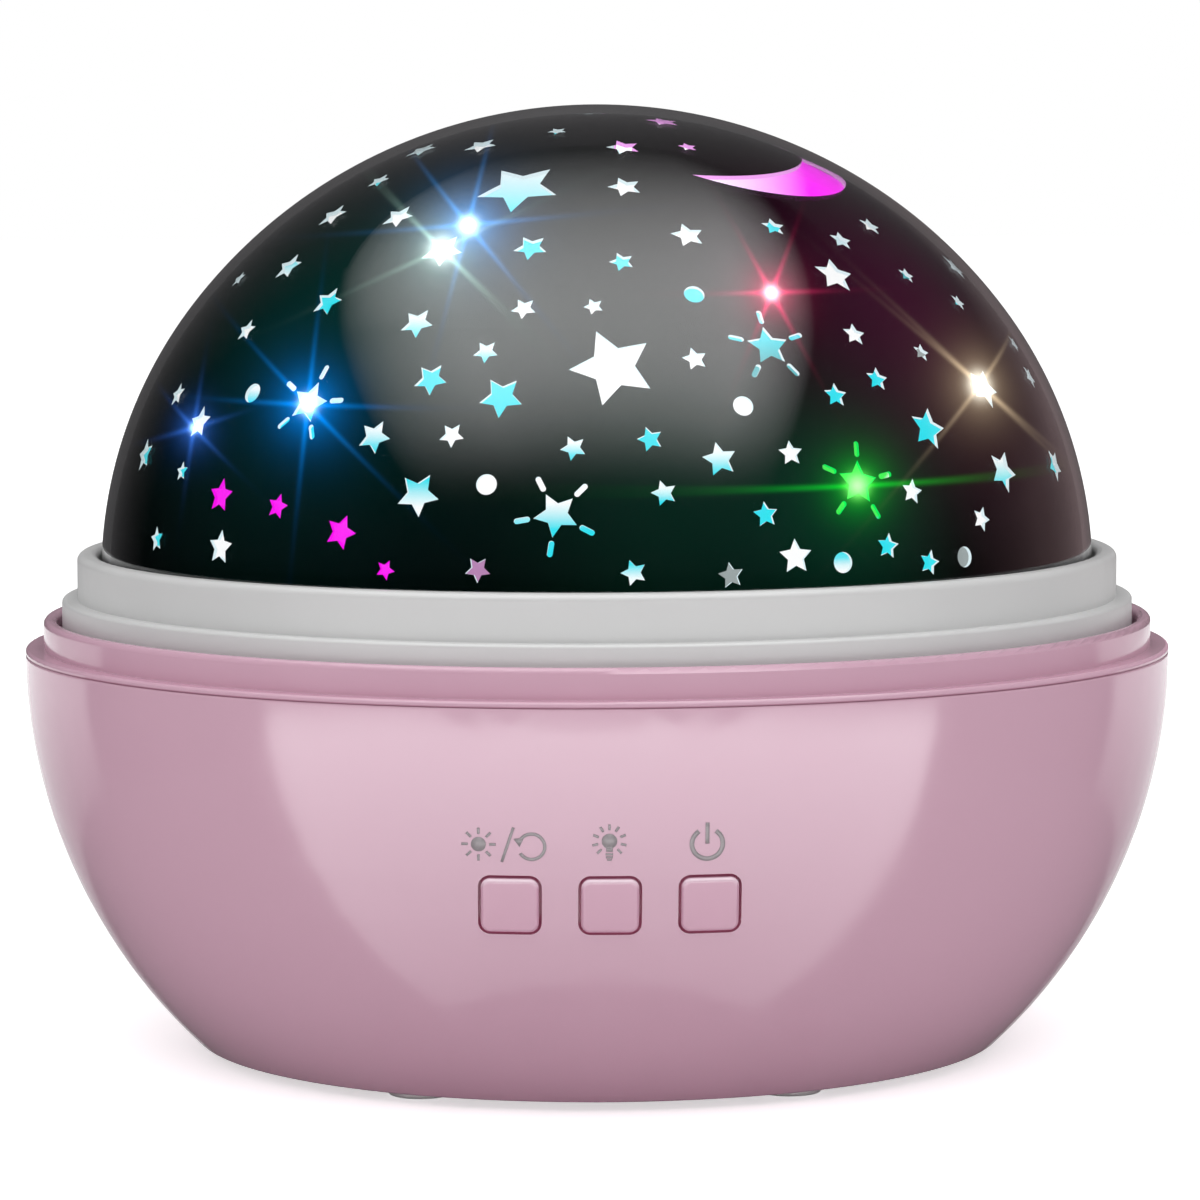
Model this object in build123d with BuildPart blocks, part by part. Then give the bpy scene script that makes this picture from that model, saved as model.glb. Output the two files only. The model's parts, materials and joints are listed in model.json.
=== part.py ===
from build123d import *
import os
from math import acos, asin, atan, cos, degrees, pi, radians, sin, sqrt, tan

# A star projector lamp: a black dome with lit star windows turns in a grey collar on a pink bowl.
# Sizes are in millimetres. The origin is on the surface that the lamp stands on, under its middle,
# +Z is up, and the front with the buttons faces -Y.

# Fits
overrun = 1.0  # how far a cut runs past what it cuts
slide_gap = 0.3  # between faces that move past each other
turn_gap = 0.05  # round a hub or a shaft that turns in its bore
press_gap = 0.02  # round a piece that is pressed into its seat
screw_gap = 0.15  # round a screw in its hole
lift_gap = 0.05  # between flat faces that turn on each other or come apart

# Bowl
bowl_radius = 65.0  # at the seam, its widest place
bowl_side_radius = 61.2  # curve of its side
bowl_depth = 44.4  # from its bottom to the seam
bowl_wall = 2.0
bowl_floor = 2.2
bowl_edge_round = 0.7
seam_round = 0.3

# Rubber feet
foot_radius = 3.6
foot_height = 1.8
foot_proud = 1.0
foot_round = 0.4
foot_x = 20.0
foot_y = 34.5

# Top cover
shoulder_width = 2.05
shoulder_thickness = 0.6
shoulder_round = 0.35
rim_wall = 1.5
rim_rise = 3.3
rim_round = 0.6
deck_drop = 4.9  # from the seam to the deck's top
deck_thickness = 2.0
pillar_radius = 11.0
pillar_bore = 6.0

# Collar and turntable
collar_gap = 0.6  # between the collar and the rim
collar_show = 2.2  # how far the lower tier stands above the rim
ledge_width = 1.75
ledge_round = 0.4
upper_tier_height = 5.1
collar_wall = 2.4
collar_round = 0.8
gear_room = 4.5  # between the deck and the turntable
table_thickness = 1.6
seat_rise = 2.5
seat_width = 4.2
hub_wall = 2.5
hub_rise = 3.2
washer_thickness = 0.6
washer_width = 4.0

# Dome
dome_rise = 53.4
dome_skirt = 4.5  # straight stretch under the curve
dome_side_share = 2.0  # of the dome's flattening: how far out its side curve's middle is
dome_wall = 0.9
mask_gap = 0.1
mask_wall = 0.4
film_gap = 0.05
film_wall = 0.4

# Star pattern: places are azimuths from the front and heights over the dome's middle, in degrees
star_waist_share = 0.5
large_star = 4.6
big_star = 2.4
medium_star = 1.9
small_star = 1.4
tiny_star = 1.1
dot_radius = 1.1
dash_length = 1.7
dash_width = 0.6
dash_reach = 3.6
moon_radius = 14.2
moon_bite_radius = 16.5
moon_bite_offset = 7.8
moon_bite_angle = 116
moon_angles = (49, 70)
star_lean = 23  # at the front; seen from over the dome, all the stars lean the same way
pattern_turn = -1.2
copy_turns = (135, 225)
copy_reach_angle = 45
large_star_angles = ((-16, 57.4), (2.1, 29.5))
big_star_angles = (
    (-25.1, 45.9), (-11.4, 25.7), (38.1, 41.6), (42.8, 20.8), (56.5, 25.2), (-20.2, 14), (54.6, 15),
)
medium_star_angles = (
    (-58.1, 66), (-38.1, 51.5), (-56, 51.4), (-40.9, 37.8), (-24.6, 35.1), (-20.7, 27.8), (-10.4, 46.5),
    (6.1, 57.5), (15.5, 48.4), (-26.6, 20.6), (14.1, 18.1), (69.1, 14.8), (-29.3, 9.4), (22.1, 6.7),
    (-55.6, 21.2), (-35.9, 67.4), (-54.9, 42.7), (-67.9, 16.5), (-46.6, 6.8), (-4, 83.5), (33.7, 76),
    (8.1, 67), (73.7, 41.7), (-47.7, 12.8),
)
small_star_angles = (
    (-54.7, 58.4), (-54.5, 33.3), (4, 44.2), (32.1, 49.6), (-9.9, 37.3), (-14.1, 31.4), (12.5, 30.4),
    (44.5, 47), (55.7, 49.2), (36.2, 33.1), (-64.2, 24.3), (-16.9, 21), (-2.6, 19.6), (6.2, 20.6),
    (22.7, 18.6), (-38.3, 12), (-59.6, 6.9), (7.5, 14.3), (18.9, 11.6), (4, 5.3), (-12.9, 5.6),
    (30.2, 25.4), (37.1, 27.2), (72.8, 25.8), (38.1, 13.5), (48.6, 9.7), (33.8, 7.4), (14.6, 4.8),
    (39.5, 5.2),
)
tiny_star_angles = (
    (-68.2, 40.4), (-14.2, 72.2), (27.5, 66.9), (-0.3, 37.6), (53.7, 41.1), (62.8, 36.7), (46.6, 30.3),
    (74.2, 30.2), (-56.4, 15.2), (-23.5, 5.3),
)
sparkle_angles = ((-4.4, 11.9), (22.7, 31.9), (-37, 24.5), (30.8, 14.9))
dot_angles = ((14, 39.2), (-47, 25.3), (17.7, 24.4), (-12.3, 15.3), (27.8, 5.8), (45, 5.5))

# Drive
gear_module = 1.0
gear_margin = 12.8  # from the collar's outside to the ring gear's pitch line
pinion_teeth = 16
pressure_angle = 20
tooth_addendum = 0.6
tooth_dedendum = 1.0
tooth_backlash = 0.2
ring_rim = 4.0
ring_skirt = 1.8
ring_skirt_height = 2.5
gear_lift = 0.6  # of the gears over the deck
pinion_head_gap = 0.3
shaft_radius = 1.5
shaft_seat = 5.5
shaft_hole_gap = 1.0
motor_width = 12.0
motor_depth = 10.0
motor_length = 15.0
gearbox_length = 9.0
bracket_wall = 1.5
bracket_height = 7.0
bracket_ear = 6.0
bracket_ear_thickness = 1.8

# Light source on the pillar
holder_flange_radius = 14.4
holder_flange = 2.0
holder_spigot = 4.0
holder_stem_radius = 6.2
holder_stem_height = 4.0
holder_bore = 3.6
lamp_screw_circle = 8.5
led_board_radius = 12.0
led_board_thickness = 1.2
led_circle = 7.5
led_radius = 2.5
led_flange_radius = 2.9
led_flange = 1.0
led_straight = 5.0

# Buttons and their switches
button_width = 6.0
button_height = 5.9
button_corner = 1.0
button_proud = 0.4
button_round = 0.45
button_pitch = 10.35
button_rise = 23.5  # from the bowl's bottom to the button's middle
button_travel = 0.5
flange_lip = 0.8
flange_thickness = 1.2
stem_radius = 2.0
switch_size = 6.0
switch_height = 3.4
plunger_radius = 1.7
plunger_proud = 1.2
plunger_seat = 1.2

# Main board
board_standoff = 12.1  # from the wall behind the buttons to the board
board_width = 46.0
board_height = 22.0
board_thickness = 1.6
board_boss_radius = 2.6
board_boss_x = 19.5
chip_length = 10.0
chip_width = 6.0
chip_height = 1.6
capacitor_radius = 3.2
capacitor_height = 8.0
chip_x = -8.0
capacitor_x = 10.0

# Power inlet at the back
usb_rise = 12.0  # from the bowl's bottom to the inlet's middle
usb_mouth_width = 12.0
usb_mouth_height = 7.6
usb_mouth_corner = 1.6
usb_width = 7.8
usb_height = 2.9
usb_depth = 5.6
usb_wall = 0.4
usb_tongue_width = 5.2
usb_tongue_height = 0.7
usb_tongue_back = 0.6
usb_board_width = 15.0
usb_board_depth = 11.0
usb_board_thickness = 1.2
usb_board_inset = 2.6  # of the board's edge behind the socket's mouth
usb_post_radius = 1.9
usb_post_x = 5.3

# Battery bay
cell_radius = 5.25
cell_length = 44.5
cell_nub_radius = 1.9
cell_nub = 1.0
cell_count = 4
cell_pitch = 11.1
cell_room = 0.4  # over and under the cells
bay_length = 50.0
bay_wall = 1.6
bay_roof = 1.6
contact_thickness = 0.4
contact_size = 8.0
contact_bow = 3.2
tab_width = 2.4
tab_rise = 2.0

# Battery door
door_lip = 1.8
door_recess = 1.5
door_corner = 2.0
door_ear_radius = 4.2
door_screw_clearance = 5.2  # from the bay's inside to the screw's middle
door_boss_radius = 3.2
door_boss_height = 6.0

# Screws
post_radius = 3.6
post_height = 14.8
post_clearance = 1.0
post_y = 19.0
boss_radius = 3.2
long_screw_bore = 7.0  # how deep the head sits in its post
long_screw_shank = 16.0
long_screw_radius = 1.15
long_head_radius = 2.6
long_head_height = 1.8
short_screw_radius = 0.9
short_head_radius = 1.9
short_head_height = 1.2
board_screw_shank = 6.5
lamp_screw_shank = 8.0
motor_screw_shank = 3.4
usb_screw_shank = 4.0
door_screw_shank = 6.0
slot_width = 0.5
slot_depth = 0.6
slot_share = 1.3  # of the head's radius

# Wires
lead_radius = 0.6
lead_bend = 5.0
lead_spread = 1.6
lamp_lead_rise = 6.0  # of a lead's start over the buttons' middle
motor_lead_rise = 4.0
motor_lead_x = 18.0
battery_lead_rise = 7.0
battery_lead_x = 15.5
usb_lead_x = 5.8
usb_lead_rise = 6.0

# Levels and radii that follow from these
bowl_z = foot_proud
floor_z = bowl_z + bowl_floor
seam_z = bowl_z + bowl_depth
side_centre = bowl_radius - bowl_side_radius
shoulder_z = seam_z + shoulder_thickness
rim_z = shoulder_z + rim_rise
deck_z = seam_z - deck_drop
deck_under_z = deck_z - deck_thickness
table_under_z = deck_z + gear_room
table_z = table_under_z + table_thickness
seat_z = table_z + seat_rise
ledge_z = rim_z + collar_show
collar_z = ledge_z + upper_tier_height
hub_under_z = deck_z + washer_thickness + lift_gap
hub_z = table_z + hub_rise
pillar_z = hub_z + lift_gap
dome_under_z = seat_z + lift_gap
dome_centre_z = seat_z + dome_skirt
rim_radius = bowl_radius - shoulder_width
pan_radius = rim_radius - rim_wall
collar_radius = pan_radius - collar_gap
upper_tier_radius = collar_radius - ledge_width
seat_radius = upper_tier_radius - collar_wall
pan_foot_z = table_under_z - slide_gap
dome_radius = seat_radius - slide_gap
dome_flattening = dome_radius - dome_rise
dome_crown_share = (2 * dome_side_share - 1) / (2 * dome_side_share - 2)
dome_join_angle = degrees(atan(dome_crown_share / dome_side_share))
mask_inset = dome_wall + mask_gap
film_inset = mask_inset + mask_wall + film_gap
hub_radius = pillar_radius + turn_gap
ring_teeth = 4 * int((collar_radius - gear_margin) / gear_module / 2)
ring_pitch_radius = gear_module * ring_teeth / 2
pinion_pitch_radius = gear_module * pinion_teeth / 2
ring_radius = ring_pitch_radius + ring_rim
pinion_x = pinion_pitch_radius - ring_pitch_radius
gear_z = deck_z + gear_lift
pinion_z = table_under_z - pinion_head_gap
gearbox_z = deck_under_z - gearbox_length
motor_z = gearbox_z - motor_length
holder_z = pillar_z + holder_flange + holder_stem_height
led_board_z = holder_z + led_board_thickness
button_z = bowl_z + button_rise
usb_z = bowl_z + usb_rise
usb_board_z = usb_z - usb_height / 2
cell_z = floor_z + cell_room + cell_radius
bay_width = cell_count * cell_pitch
bay_height = 2 * (cell_radius + cell_room)
bay_roof_z = floor_z + bay_height + bay_roof
nub_x = bay_length / 2 - contact_thickness
tab_x = bay_length / 2 - contact_thickness / 2
tab_y = cell_pitch * (cell_count - 1) / 2
tab_z = bay_roof_z + tab_rise
door_screw_x = bay_length / 2 + door_screw_clearance
door_z = bowl_z + door_recess
post_x = bay_length / 2 + bay_wall + post_radius + post_clearance
post_z = floor_z + post_height
head_z = bowl_z + long_screw_bore
bottom_up = (Align.CENTER, Align.CENTER, Align.MIN)
top_down = (Align.CENTER, Align.CENTER, Align.MAX)
button_places = {
    "brightness": -button_pitch,
    "colour": 0,
    "power": button_pitch,
}


def bowl_reach(z, grow):
    return side_centre + sqrt((bowl_side_radius + grow) ** 2 - (seam_z - z) ** 2)


def wall_distance(x, z):
    return sqrt(bowl_reach(z, -bowl_wall) ** 2 - x**2)


def flange_distance(x):
    edge_x = abs(x) + button_width / 2 + flange_lip
    edge_z = button_z - button_height / 2 - flange_lip
    return wall_distance(edge_x, edge_z) - slide_gap


board_distance = wall_distance(0, button_z) - board_standoff
board_back = board_distance - board_thickness
plunger_distance = board_distance + switch_height + plunger_proud
usb_distance = wall_distance(usb_width / 2, usb_board_z) - slide_gap
usb_board_edge = usb_distance - usb_board_inset
usb_board_middle = usb_board_edge - usb_board_depth / 2
usb_post_y = usb_board_edge - usb_board_depth + usb_post_radius


# The bowl's form, grown or shrunk by a wall, from a bottom level up to a top level
def bowl_form(grow, bottom, top):
    radius = bowl_side_radius + grow
    sweep_angle = degrees(asin((seam_z - bottom) / radius))
    with BuildPart() as form:
        with BuildSketch(Plane.XZ):
            with BuildLine():
                side = CenterArc((side_centre, seam_z), radius, -sweep_angle, sweep_angle)
                if top > seam_z:
                    Line((side_centre + radius, seam_z), (side_centre + radius, top))
                Polyline((side_centre + radius, top), (0, top), (0, bottom), side @ 0)
            make_face()
        revolve(axis=Axis.Z)
    return form.part


# The battery door's outline, with a gap round it
def door_outline(gap):
    RectangleRounded(
        bay_length + 2 * (door_lip + gap),
        bay_width + 2 * (door_lip + gap),
        door_corner + gap,
    )
    SlotCenterToCenter(2 * door_screw_x, 2 * (door_ear_radius + gap))


# Pan head screws, one on each plane, with the plane under the head
def screws_on(planes, head_radius, head_height, shank_radius, shank_length):
    with BuildPart(*planes) as screws:
        Cylinder(head_radius, head_height, align=bottom_up)
        Cylinder(shank_radius, shank_length, align=top_down)
        with Locations((0, 0, head_height)):
            Box(slot_share * head_radius, slot_width, slot_depth, align=top_down, mode=Mode.SUBTRACT)
            Box(slot_width, slot_share * head_radius, slot_depth, align=top_down, mode=Mode.SUBTRACT)
    return screws


# Wires, one along each route
def leads_along(*routes):
    with BuildPart() as leads:
        for route in routes:
            with BuildLine(mode=Mode.PRIVATE) as path:
                FilletPolyline(*route, radius=lead_bend)
            with BuildSketch(Plane(origin=path.line @ 0, z_dir=path.line % 0)):
                Circle(lead_radius)
            sweep(path=path.line)
    return leads


# The space inside the bowl, less what stands in it
with BuildPart() as bowl_cavity:
    add(bowl_form(-bowl_wall, floor_z, seam_z + overrun))
    with Locations((0, 0, floor_z)):
        Box(
            bay_length + 2 * bay_wall,
            bay_width + 2 * bay_wall,
            bay_height + bay_roof,
            align=bottom_up,
            mode=Mode.SUBTRACT,
        )
    with BuildSketch(Plane.XY.offset(floor_z)):
        with GridLocations(2 * post_x, 2 * post_y, 2, 2):
            Circle(post_radius)
    extrude(amount=post_height, mode=Mode.SUBTRACT)
    with BuildSketch(Plane.XY.offset(floor_z)):
        with GridLocations(2 * door_screw_x, 0, 2, 1):
            Circle(door_boss_radius)
    extrude(amount=door_boss_height, mode=Mode.SUBTRACT)
    with BuildSketch(Plane.XY.offset(floor_z)):
        with Locations((0, usb_post_y)):
            with GridLocations(2 * usb_post_x, 0, 2, 1):
                Circle(usb_post_radius)
    extrude(amount=usb_board_z - usb_board_thickness - floor_z, mode=Mode.SUBTRACT)
    with BuildSketch(Plane.XZ.offset(board_distance)):
        with Locations((-board_boss_x, button_z), (board_boss_x, button_z)):
            Circle(board_boss_radius)
    extrude(amount=bowl_radius - board_distance, mode=Mode.SUBTRACT)

with BuildPart() as bowl:
    add(bowl_form(0, bowl_z, seam_z))
    fillet(bowl.faces().sort_by(Axis.Z)[0].edges(), bowl_edge_round)
    add(bowl_cavity.part, mode=Mode.SUBTRACT)
    fillet(bowl.faces().filter_by(Plane.XY).sort_by(Axis.Z)[-1].outer_wire().edges(), seam_round)
    with Locations((0, 0, floor_z + bay_height)):
        Box(bay_length, bay_width, bay_height + bowl_floor + overrun, align=top_down, mode=Mode.SUBTRACT)
    with BuildSketch(Plane.XY.offset(door_z)):
        door_outline(slide_gap)
    extrude(amount=-door_recess - overrun, mode=Mode.SUBTRACT)
    with BuildSketch(Plane.XY.offset(bowl_z + foot_height - foot_proud)):
        with GridLocations(2 * foot_x, 2 * foot_y, 2, 2):
            Circle(foot_radius + press_gap)
    extrude(amount=-foot_height - overrun, mode=Mode.SUBTRACT)
    with BuildSketch(Plane.XY.offset(head_z)):
        with GridLocations(2 * post_x, 2 * post_y, 2, 2):
            Circle(long_head_radius + screw_gap)
    extrude(amount=-long_screw_bore - overrun, mode=Mode.SUBTRACT)
    with BuildSketch(Plane.XY.offset(post_z + overrun)):
        with GridLocations(2 * post_x, 2 * post_y, 2, 2):
            Circle(long_screw_radius + screw_gap)
    extrude(amount=-post_height, mode=Mode.SUBTRACT)
    with BuildSketch(Plane.XY.offset(bowl_z)):
        with GridLocations(2 * door_screw_x, 0, 2, 1):
            Circle(short_screw_radius + screw_gap)
    extrude(amount=bowl_floor + door_boss_height + overrun, mode=Mode.SUBTRACT)
    with BuildSketch(Plane.XY.offset(usb_board_z)):
        with Locations((0, usb_post_y)):
            with GridLocations(2 * usb_post_x, 0, 2, 1):
                Circle(short_screw_radius + screw_gap)
    extrude(amount=-usb_board_thickness - usb_screw_shank, mode=Mode.SUBTRACT)
    with BuildSketch(Plane.XZ.offset(board_distance)):
        with Locations((-board_boss_x, button_z), (board_boss_x, button_z)):
            Circle(short_screw_radius + screw_gap)
    extrude(amount=board_screw_shank, mode=Mode.SUBTRACT)
    with BuildSketch(Plane.XZ.offset(board_distance)):
        with Locations(*[(x, button_z) for x in button_places.values()]):
            RectangleRounded(
                button_width + 2 * slide_gap,
                button_height + 2 * slide_gap,
                button_corner + slide_gap,
            )
    extrude(amount=bowl_radius - board_distance, mode=Mode.SUBTRACT)
    with BuildSketch(Plane.XZ.offset(usb_depth - usb_distance)):
        with Locations((0, usb_z)):
            RectangleRounded(usb_mouth_width, usb_mouth_height, usb_mouth_corner)
    extrude(amount=usb_distance - usb_depth - bowl_radius, mode=Mode.SUBTRACT)
    with BuildSketch(Plane.XY.offset(bay_roof_z)):
        with Locations((tab_x, -tab_y), (tab_x, tab_y)):
            Rectangle(contact_thickness + 2 * press_gap, tab_width + 2 * press_gap)
    extrude(amount=-bay_roof - overrun, mode=Mode.SUBTRACT)

with BuildPart() as feet:
    with BuildSketch():
        with GridLocations(2 * foot_x, 2 * foot_y, 2, 2):
            Circle(foot_radius)
    extrude(amount=foot_height)
    fillet(feet.edges().group_by(Axis.Z)[0], foot_round)

with BuildPart() as top_cover:
    with BuildSketch(Plane.XZ):
        skirt_radius = wall_distance(0, deck_under_z) - slide_gap
        pan_foot_radius = skirt_radius - rim_wall
        with BuildLine():
            Polyline(
                (pillar_bore, deck_under_z),
                (skirt_radius, deck_under_z),
                (skirt_radius, seam_z),
                (bowl_radius, seam_z),
                (bowl_radius, shoulder_z),
                (rim_radius, shoulder_z),
                (rim_radius, rim_z),
                (pan_radius, rim_z),
                (pan_radius, pan_foot_z),
                (pan_foot_radius, pan_foot_z),
                (pan_foot_radius, deck_z),
                (pillar_radius, deck_z),
                (pillar_radius, pillar_z),
                (pillar_bore, pillar_z),
                close=True,
            )
        make_face()
    revolve(axis=Axis.Z)
    cover_tops = top_cover.faces().filter_by(Plane.XY).group_by(Axis.Z)
    fillet(cover_tops[-2].edges(), rim_round)
    fillet(cover_tops[-3].face().outer_wire().edges(), shoulder_round)
    with BuildSketch(Plane.XY.offset(deck_under_z)):
        with GridLocations(2 * post_x, 2 * post_y, 2, 2):
            Circle(boss_radius)
    extrude(amount=post_z - deck_under_z)
    with BuildSketch(Plane.XY.offset(post_z)):
        with GridLocations(2 * post_x, 2 * post_y, 2, 2):
            Circle(long_screw_radius + screw_gap)
    extrude(amount=long_screw_shank, mode=Mode.SUBTRACT)
    with BuildSketch(Plane.XY.offset(deck_under_z)):
        with Locations((pinion_x, 0)):
            Circle(shaft_radius + shaft_hole_gap)
            with GridLocations(0, motor_width + 2 * bracket_wall + bracket_ear, 1, 2):
                Circle(short_screw_radius + screw_gap)
    extrude(amount=deck_thickness, mode=Mode.SUBTRACT)
    with BuildSketch(Plane.XY.offset(pillar_z)):
        with GridLocations(2 * lamp_screw_circle, 0, 2, 1):
            Circle(short_screw_radius + screw_gap)
    extrude(amount=-lamp_screw_shank, mode=Mode.SUBTRACT)

with BuildPart() as turntable:
    with BuildSketch(Plane.XZ):
        skirt_radius = ring_radius + press_gap
        hub_outside = hub_radius + hub_wall
        seat_inside = seat_radius - seat_width
        with BuildLine():
            Polyline(
                (hub_radius, hub_under_z),
                (hub_outside, hub_under_z),
                (hub_outside, table_under_z),
                (skirt_radius, table_under_z),
                (skirt_radius, table_under_z - ring_skirt_height),
                (skirt_radius + ring_skirt, table_under_z - ring_skirt_height),
                (skirt_radius + ring_skirt, table_under_z),
                (collar_radius, table_under_z),
                (collar_radius, ledge_z),
                (upper_tier_radius, ledge_z),
                (upper_tier_radius, collar_z),
                (seat_radius, collar_z),
                (seat_radius, seat_z),
                (seat_inside, seat_z),
                (seat_inside, table_z),
                (hub_outside, table_z),
                (hub_outside, hub_z),
                (hub_radius, hub_z),
                close=True,
            )
        make_face()
    revolve(axis=Axis.Z)
    collar_tops = turntable.faces().filter_by(Plane.XY).group_by(Axis.Z)
    fillet(collar_tops[-1].edges(), collar_round)
    fillet(collar_tops[-2].face().outer_wire().edges(), ledge_round)

with BuildPart() as thrust_washer:
    with BuildSketch(Plane.XY.offset(deck_z)):
        Circle(pillar_radius + turn_gap + washer_width)
        Circle(pillar_radius + turn_gap, mode=Mode.SUBTRACT)
    extrude(amount=washer_thickness)


# A dome of two curves that run into each other, on a straight skirt, set in from the outermost one
def dome_form(inset, wall, skirt_inset):
    side_middle = (dome_side_share * dome_flattening, 0)
    side_radius = dome_radius - dome_side_share * dome_flattening - inset
    crown_middle = (0, -dome_crown_share * dome_flattening)
    crown_radius = dome_rise + dome_crown_share * dome_flattening - inset
    crown_angle = 90 - dome_join_angle
    with BuildPart() as form:
        with BuildSketch(Plane(origin=(0, 0, dome_centre_z), x_dir=(1, 0, 0), z_dir=(0, -1, 0))):
            with BuildLine():
                side = CenterArc(side_middle, side_radius, 0, dome_join_angle)
                crown = CenterArc(crown_middle, crown_radius, dome_join_angle, crown_angle)
                inner_side = CenterArc(side_middle, side_radius - wall, 0, dome_join_angle)
                inner_crown = CenterArc(crown_middle, crown_radius - wall, dome_join_angle, crown_angle)
                Line(side @ 0, inner_side @ 0)
                Line(crown @ 1, inner_crown @ 1)
            make_face()
            with Locations((dome_radius - skirt_inset, 0)):
                skirt_wall = inset + wall - skirt_inset
                Rectangle(skirt_wall, dome_centre_z - dome_under_z, align=(Align.MAX, Align.MAX))
        revolve(axis=Axis.Z)
    return form.part


# A plane on the star mask at an azimuth and a height, turned about its own normal
def window_plane(azimuth, height, turn):
    across = radians(azimuth + pattern_turn)
    up = radians(height)
    radius = dome_radius - mask_inset
    rise = dome_rise - mask_inset
    outward = Vector(cos(up) * sin(across), -cos(up) * cos(across), sin(up))
    place = Vector(radius * outward.X, radius * outward.Y, dome_centre_z + rise * outward.Z)
    sideways = Vector(cos(across), sin(across), 0)
    lean = radians(turn)
    leaning = sideways * cos(lean) + outward.cross(sideways) * sin(lean)
    return Plane(origin=place + outward * overrun, x_dir=leaning, z_dir=outward)


# Planes for one kind of window, with copies of its middle ones turned round the dome
def window_planes(angles, turns):
    places = list(angles)
    for turn in turns:
        places += [(a + turn, h) for a, h in angles if abs(a) < copy_reach_angle]
    return [window_plane(a, h, star_lean - a) for a, h in places]


# A five pointed star, the first point upwards
def star_outline(radius):
    points = []
    for corner in range(10):
        reach = radius if corner % 2 == 0 else radius * star_waist_share
        direction = radians(90 + 36 * corner)
        points.append((reach * cos(direction), reach * sin(direction)))
    Polygon(*points, align=None)


with BuildPart() as clear_dome:
    add(dome_form(0, dome_wall, 0))

with BuildPart() as star_mask:
    add(dome_form(mask_inset, mask_wall, dome_wall + press_gap))
    for radius, angles, turns in (
        (large_star, large_star_angles, copy_turns),
        (big_star, big_star_angles, copy_turns),
        (medium_star, medium_star_angles, copy_turns),
        (small_star, small_star_angles, ()),
        (tiny_star, tiny_star_angles, ()),
        (big_star, sparkle_angles, ()),
    ):
        with BuildSketch(*window_planes(angles, turns)):
            star_outline(radius)
    with BuildSketch(*window_planes(sparkle_angles, ())):
        with PolarLocations(dash_reach, 5, start_angle=90):
            SlotOverall(dash_length, dash_width)
    with BuildSketch(*window_planes(dot_angles, copy_turns)):
        Circle(dot_radius)
    with BuildSketch(window_plane(*moon_angles, moon_bite_angle)):
        Circle(moon_radius)
        with Locations((moon_bite_offset, 0)):
            Circle(moon_bite_radius, mode=Mode.SUBTRACT)
    moon_sink = moon_radius**2 / 2 / dome_rise
    extrude(amount=-mask_wall - moon_sink - 2 * overrun, mode=Mode.SUBTRACT)

with BuildPart() as colour_film:
    add(dome_form(film_inset, film_wall, mask_inset + mask_wall + press_gap))


def involute(angle):
    return tan(angle) - angle


# The outline of a gear with involute teeth, thickened or thinned at the pitch line
def gear_outline(teeth, root_radius, tip_radius, thickening, mode):
    pitch_radius = gear_module * teeth / 2
    base_radius = pitch_radius * cos(radians(pressure_angle))
    pitch_half = pi / 2 / teeth + thickening / 2 / pitch_radius + involute(radians(pressure_angle))
    flank = []
    for radius in (root_radius, pitch_radius, tip_radius):
        flank.append((radius, pitch_half - involute(acos(min(1, base_radius / radius)))))
    points = []
    for tooth in range(teeth):
        middle = 2 * pi * tooth / teeth
        points += [(r * cos(middle - half), r * sin(middle - half)) for r, half in flank]
        points += [(r * cos(middle + half), r * sin(middle + half)) for r, half in reversed(flank)]
    Polygon(*points, align=None, mode=mode)


with BuildPart() as ring_gear:
    with BuildSketch(Plane.XY.offset(gear_z)):
        Circle(ring_radius)
        gear_outline(
            ring_teeth,
            ring_pitch_radius - tooth_addendum,
            ring_pitch_radius + tooth_dedendum,
            tooth_backlash,
            Mode.SUBTRACT,
        )
    extrude(amount=table_under_z - gear_z)

with BuildPart() as pinion:
    with BuildSketch(Plane((pinion_x, 0, gear_z))):
        gear_outline(
            pinion_teeth,
            pinion_pitch_radius - tooth_dedendum,
            pinion_pitch_radius + tooth_addendum,
            -tooth_backlash,
            Mode.ADD,
        )
        Circle(shaft_radius + press_gap, mode=Mode.SUBTRACT)
    extrude(amount=pinion_z - gear_z)

with BuildPart() as motor_shaft:
    with Locations((pinion_x, 0, pinion_z)):
        Cylinder(shaft_radius, pinion_z - deck_under_z + shaft_seat, align=top_down)

with BuildPart() as motor_gearbox:
    with Locations((pinion_x, 0, deck_under_z)):
        Box(motor_depth, motor_width, gearbox_length, align=top_down)
        shaft_bore = shaft_seat + lift_gap
        Cylinder(shaft_radius + turn_gap, shaft_bore, align=top_down, mode=Mode.SUBTRACT)

with BuildPart() as motor_can:
    with BuildSketch(Plane.XY.offset(gearbox_z)):
        with Locations((pinion_x, 0)):
            Circle(motor_width / 2)
            Rectangle(motor_depth, motor_width, mode=Mode.INTERSECT)
    extrude(amount=-motor_length)

with BuildPart() as motor_bracket:
    sleeve_depth = motor_depth + 2 * bracket_wall
    sleeve_width = motor_width + 2 * bracket_wall
    with Locations((pinion_x, 0, deck_under_z)):
        Box(sleeve_depth, sleeve_width, bracket_height, align=top_down)
        Box(sleeve_depth, sleeve_width + 2 * bracket_ear, bracket_ear_thickness, align=top_down)
        Box(
            motor_depth + 2 * press_gap,
            motor_width + 2 * press_gap,
            bracket_height,
            align=top_down,
            mode=Mode.SUBTRACT,
        )
        with GridLocations(0, sleeve_width + bracket_ear, 1, 2):
            Cylinder(
                short_screw_radius + screw_gap,
                bracket_ear_thickness,
                align=top_down,
                mode=Mode.SUBTRACT,
            )

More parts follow.
